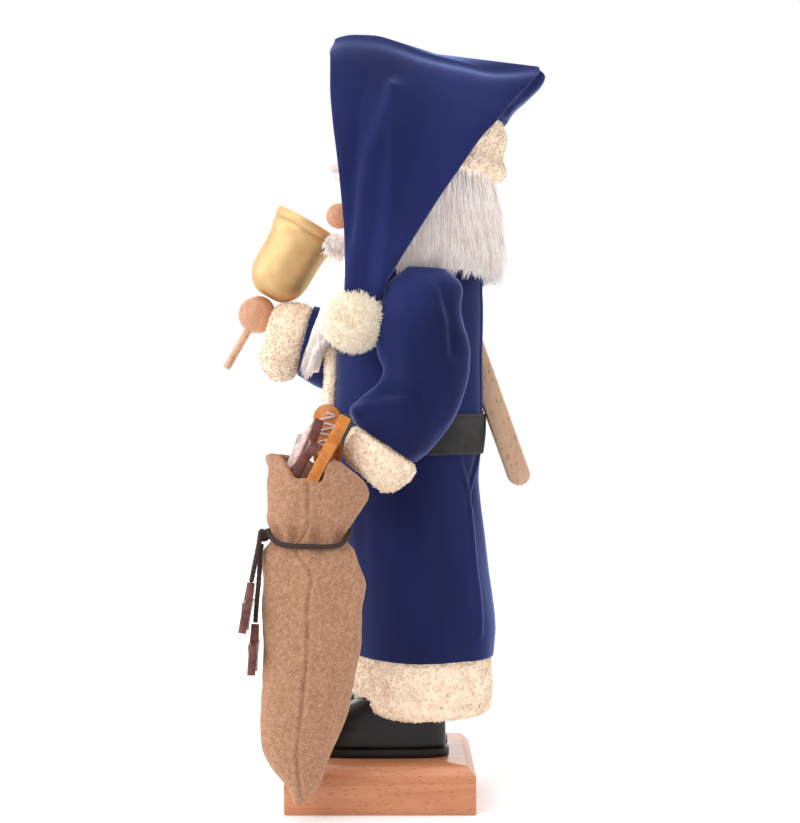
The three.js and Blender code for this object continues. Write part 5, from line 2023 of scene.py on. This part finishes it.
    def _patch(self, place: Standing, icing: Material) -> Object:
        """Returns a lumpy patch of icing on the dark star's front, thinner towards its edge."""
        angle = angles(90)
        ring = rows_between(0, 1, 22)
        wobble = 1 + 0.07 * np.sin(5 * angle + 0.4) + 0.05 * np.sin(11 * angle)
        reach = 12.6 * wobble * np.cos((1 - ring) * math.pi / 2) ** 0.8
        aside = 0.62 * reach * np.cos(angle) + 2.5
        above = 1.15 * reach * np.sin(angle) - 1.5
        points = np.stack([aside, above, 0 * reach], axis=-1)
        lumps = 0.5 * noise(points, 2.2, self.seed + 7) * (1 - ring**4)
        thick = 1.5 * np.sqrt(np.clip(1 - (ring * 0.96) ** 6, 0, 1)) + lumps
        front = points + np.array([0, 0, -2.85]) + thick[..., None] * np.array([0, 0, -1])
        back = points[-1:] + np.array([0, 0, -2.8])
        return solid("star_icing", icing, place.place(np.concatenate([front, back])))

    def _piping(self, place: Standing, icing: Material) -> Object:
        """Returns the lines of icing piped to and fro across both faces of the long cookie."""
        body = Body()
        turn = np.linspace(0, 1, 120)
        for face in (-1, 1):
            across = 4.6 * np.sin(TURN * 4.5 * turn)
            up = -14 + 28 * turn
            path = np.stack([across, up, 0 * up + face * 2.3], axis=-1)
            body.grid(place.place(tube(path, 0.85, 10, reference=(0, 0, 1))))
        return body.make("cookie_piping", icing)


@dataclass
class CordTail:
    """One loose end of the tie cord, with its wooden star."""

    name: str
    route: Rows
    diameter: float = 2.8
    star_radius: float = 15.6
    star_thick: float = 4.4
    star_drop: float = 16.1
    star_lean: float = -9.0

    def build(self, cord: Material, wood: Material) -> None:
        path = through(self.route, 25)
        length = float(np.linalg.norm(np.diff(path, axis=0), axis=1).sum())
        grid = cord_tube(through(self.route, 110), self.diameter / 2, length / 6)
        tail = fit(solid(f"tie_end_{self.name}", cord, grid), Slot.CORD, f"cord_tail_{self.name}")
        x, y, z = self.route[-1]
        lean = math.radians(self.star_lean)
        y, z = y + self.star_drop * math.sin(lean), z - self.star_drop * math.cos(lean)
        board = plate(star(self.star_radius, 0.5, 7), self.star_thick / 2, 0.45)
        grid = Standing(x, y, z, 0, self.star_lean).place(board)
        small = solid(f"small_star_{self.name}", wood, grid, sharp=40)
        fit(small, Slot.BROWN, f"cord_star_{self.name}")


SHOULDER = ((48, 7, 15, 313.5, 38, 312), (54, 14, 5, 304, 46.5, 303), (59, 18, 0.5, 290, 47, 287))


def mirrored(rows: Rows) -> Rows:
    """Returns rows with their x on the other side."""
    return tuple((-row[0], *row[1:]) for row in rows)


LEFT_ARM = Arm(
    Side.LEFT,
    SHOULDER
    + (
        (61, 19, -2, 265, 51.5, 262),
        (62, 19, 1.5, 253.5, 50, 246),
        (62, 19, -3, 245.5, 44.5, 230),
        (63, 19, -12, 237, 36, 217),
        (64, 19.5, -17, 230, 27, 206.5),
        (64.5, 18.5, -15, 224.2, 20.8, 201),
    ),
    (
        (64.5, 18.5, -14.8, 223.6, 20.5, 200.4),
        (64.5, 20.5, -17.5, 219.5, 20.5, 195.5),
        (64.5, 20.5, -21, 210, 11, 186),
        (64.5, 18.5, -21.5, 204.5, 4, 182.5),
    ),
    (70.0, -22.5, 186.0),
    hollows=(
        (((2, 243), (12, 240), (21, 239)), -3.4, 3.8),
        (((36, 300), (41, 280), (42, 262)), -1.6, 3.0),
        (((4, 270), (8, 256)), -1.4, 5.0),
    ),
    ridges=(
        (((-13, 231), (3, 235), (19, 238)), 2.3, 3.2),
        (((30, 300), (35, 282), (36, 262)), 1.2, 3.0),
        (((10, 300), (16, 275), (14, 255)), 1.2, 5.0),
    ),
)
RIGHT_ARM = Arm(
    Side.RIGHT,
    mirrored(SHOULDER)
    + (
        (-60.5, 19, -2, 279, 48, 262),
        (-61, 19.5, -8, 278, 37, 243),
        (-61, 20, -15, 284, 10, 236.5),
        (-60, 20.5, -27, 291.5, -18, 240),
        (-59, 21, -38, 296.5, -42, 245.5),
        (-58, 20, -43.2, 297.5, -54, 252.5),
    ),
    (
        (-58, 20, -43.7, 297.6, -54.5, 252.6),
        (-57.5, 22, -49, 299.4, -61, 249.5),
        (-56.5, 22, -64, 299.6, -75, 255),
        (-56, 20, -68, 298, -78.5, 261),
    ),
    (-55.0, -79.4, 292.0),
    hollows=((((0, 275), (10, 262), (14, 250)), -2.0, 4.0),),
    ridges=((((14, 300), (22, 275), (30, 255)), 1.4, 4.5),),
    seed=37,
)

TAILS = (
    CordTail(
        "a",
        (
            (82.4, -65.8, 163.6),
            (86.2, -66.2, 158.5),
            (89.4, -67.2, 152),
            (90.2, -68.6, 145),
            (88.2, -69.8, 139.8),
            (85, -70.6, 136.9),
        ),
    ),
    CordTail(
        "b",
        (
            (80.4, -65.4, 156.4),
            (84, -66, 150.5),
            (86, -66, 144),
            (85.5, -66.6, 136),
            (83.6, -67.6, 127),
            (81.6, -68.4, 119),
            (80.6, -68.8, 113.5),
        ),
        star_lean=-3.5,
    ),
)


def main() -> None:
    """Builds the studio and every piece in order."""
    logging.basicConfig(level=logging.INFO, format="%(name)s: %(message)s")
    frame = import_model()
    Studio().build()

    cord = Cord().make()
    brown = Baked("cookie_brown", (116, 62, 53), (70, 36, 31), 0.9, 0.42, 0.12).make()
    for tail in TAILS:
        tail.build(cord, brown)

    velvet = Velvet().make()
    teddy = Pile("teddy", (240, 214, 188), (252, 233, 210)).make()
    fur = Pile("white_fur", (246, 234, 228), (253, 246, 242), 12, 0.09).make()
    wool = Pile("pompom_wool", (252, 238, 216), (255, 246, 230), 9, 0.08).make()
    pale_tones = (214, 176, 146), (192, 150, 120), (150, 106, 80)
    pale = Beech("pale_beech", *pale_tones, Grain.LEANING, 0.3).make()
    block_tones = (210, 144, 104), (188, 118, 79), (158, 92, 56)
    block = Beech("lacquered_beech", *block_tones, Grain.FORWARDS, 1.0).make()
    knob_tones = (208, 154, 122), (186, 130, 98), (154, 98, 70)
    knob = Beech("turned_beech", *knob_tones, Grain.UPWARDS, 0.7).make()
    black = Gloss("black_gloss", (12, 11, 11), (28, 25, 24)).make()
    gold = Gold().make()

    Stand().build(block, black)
    coat = Coat()
    coat.build(frame, velvet, teddy, Leather().make(), gold)
    for arm in (LEFT_ARM, RIGHT_ARM):
        arm.build(velvet, teddy, knob)
    Bell().build(gold, pale)
    head = Head()
    head.build(Face().make(), knob)
    JawLever().build(pale)
    Whiskers().build(fur, head, coat)
    Cap().build(velvet, teddy, wool)
    sack = Sack()
    sack.build_bag(Felt().make())
    sack.build_tie(cord)
    icing = Baked("icing", (214, 188, 182), (166, 126, 120), 1.1, 0.5, 0.35).make()
    orange = Baked("cookie_orange", (206, 126, 44), (172, 92, 28)).make()
    sack.build_cookies(orange, brown, icing)

    bpy.context.view_layer.update()


if __name__ == "__main__":
    main()
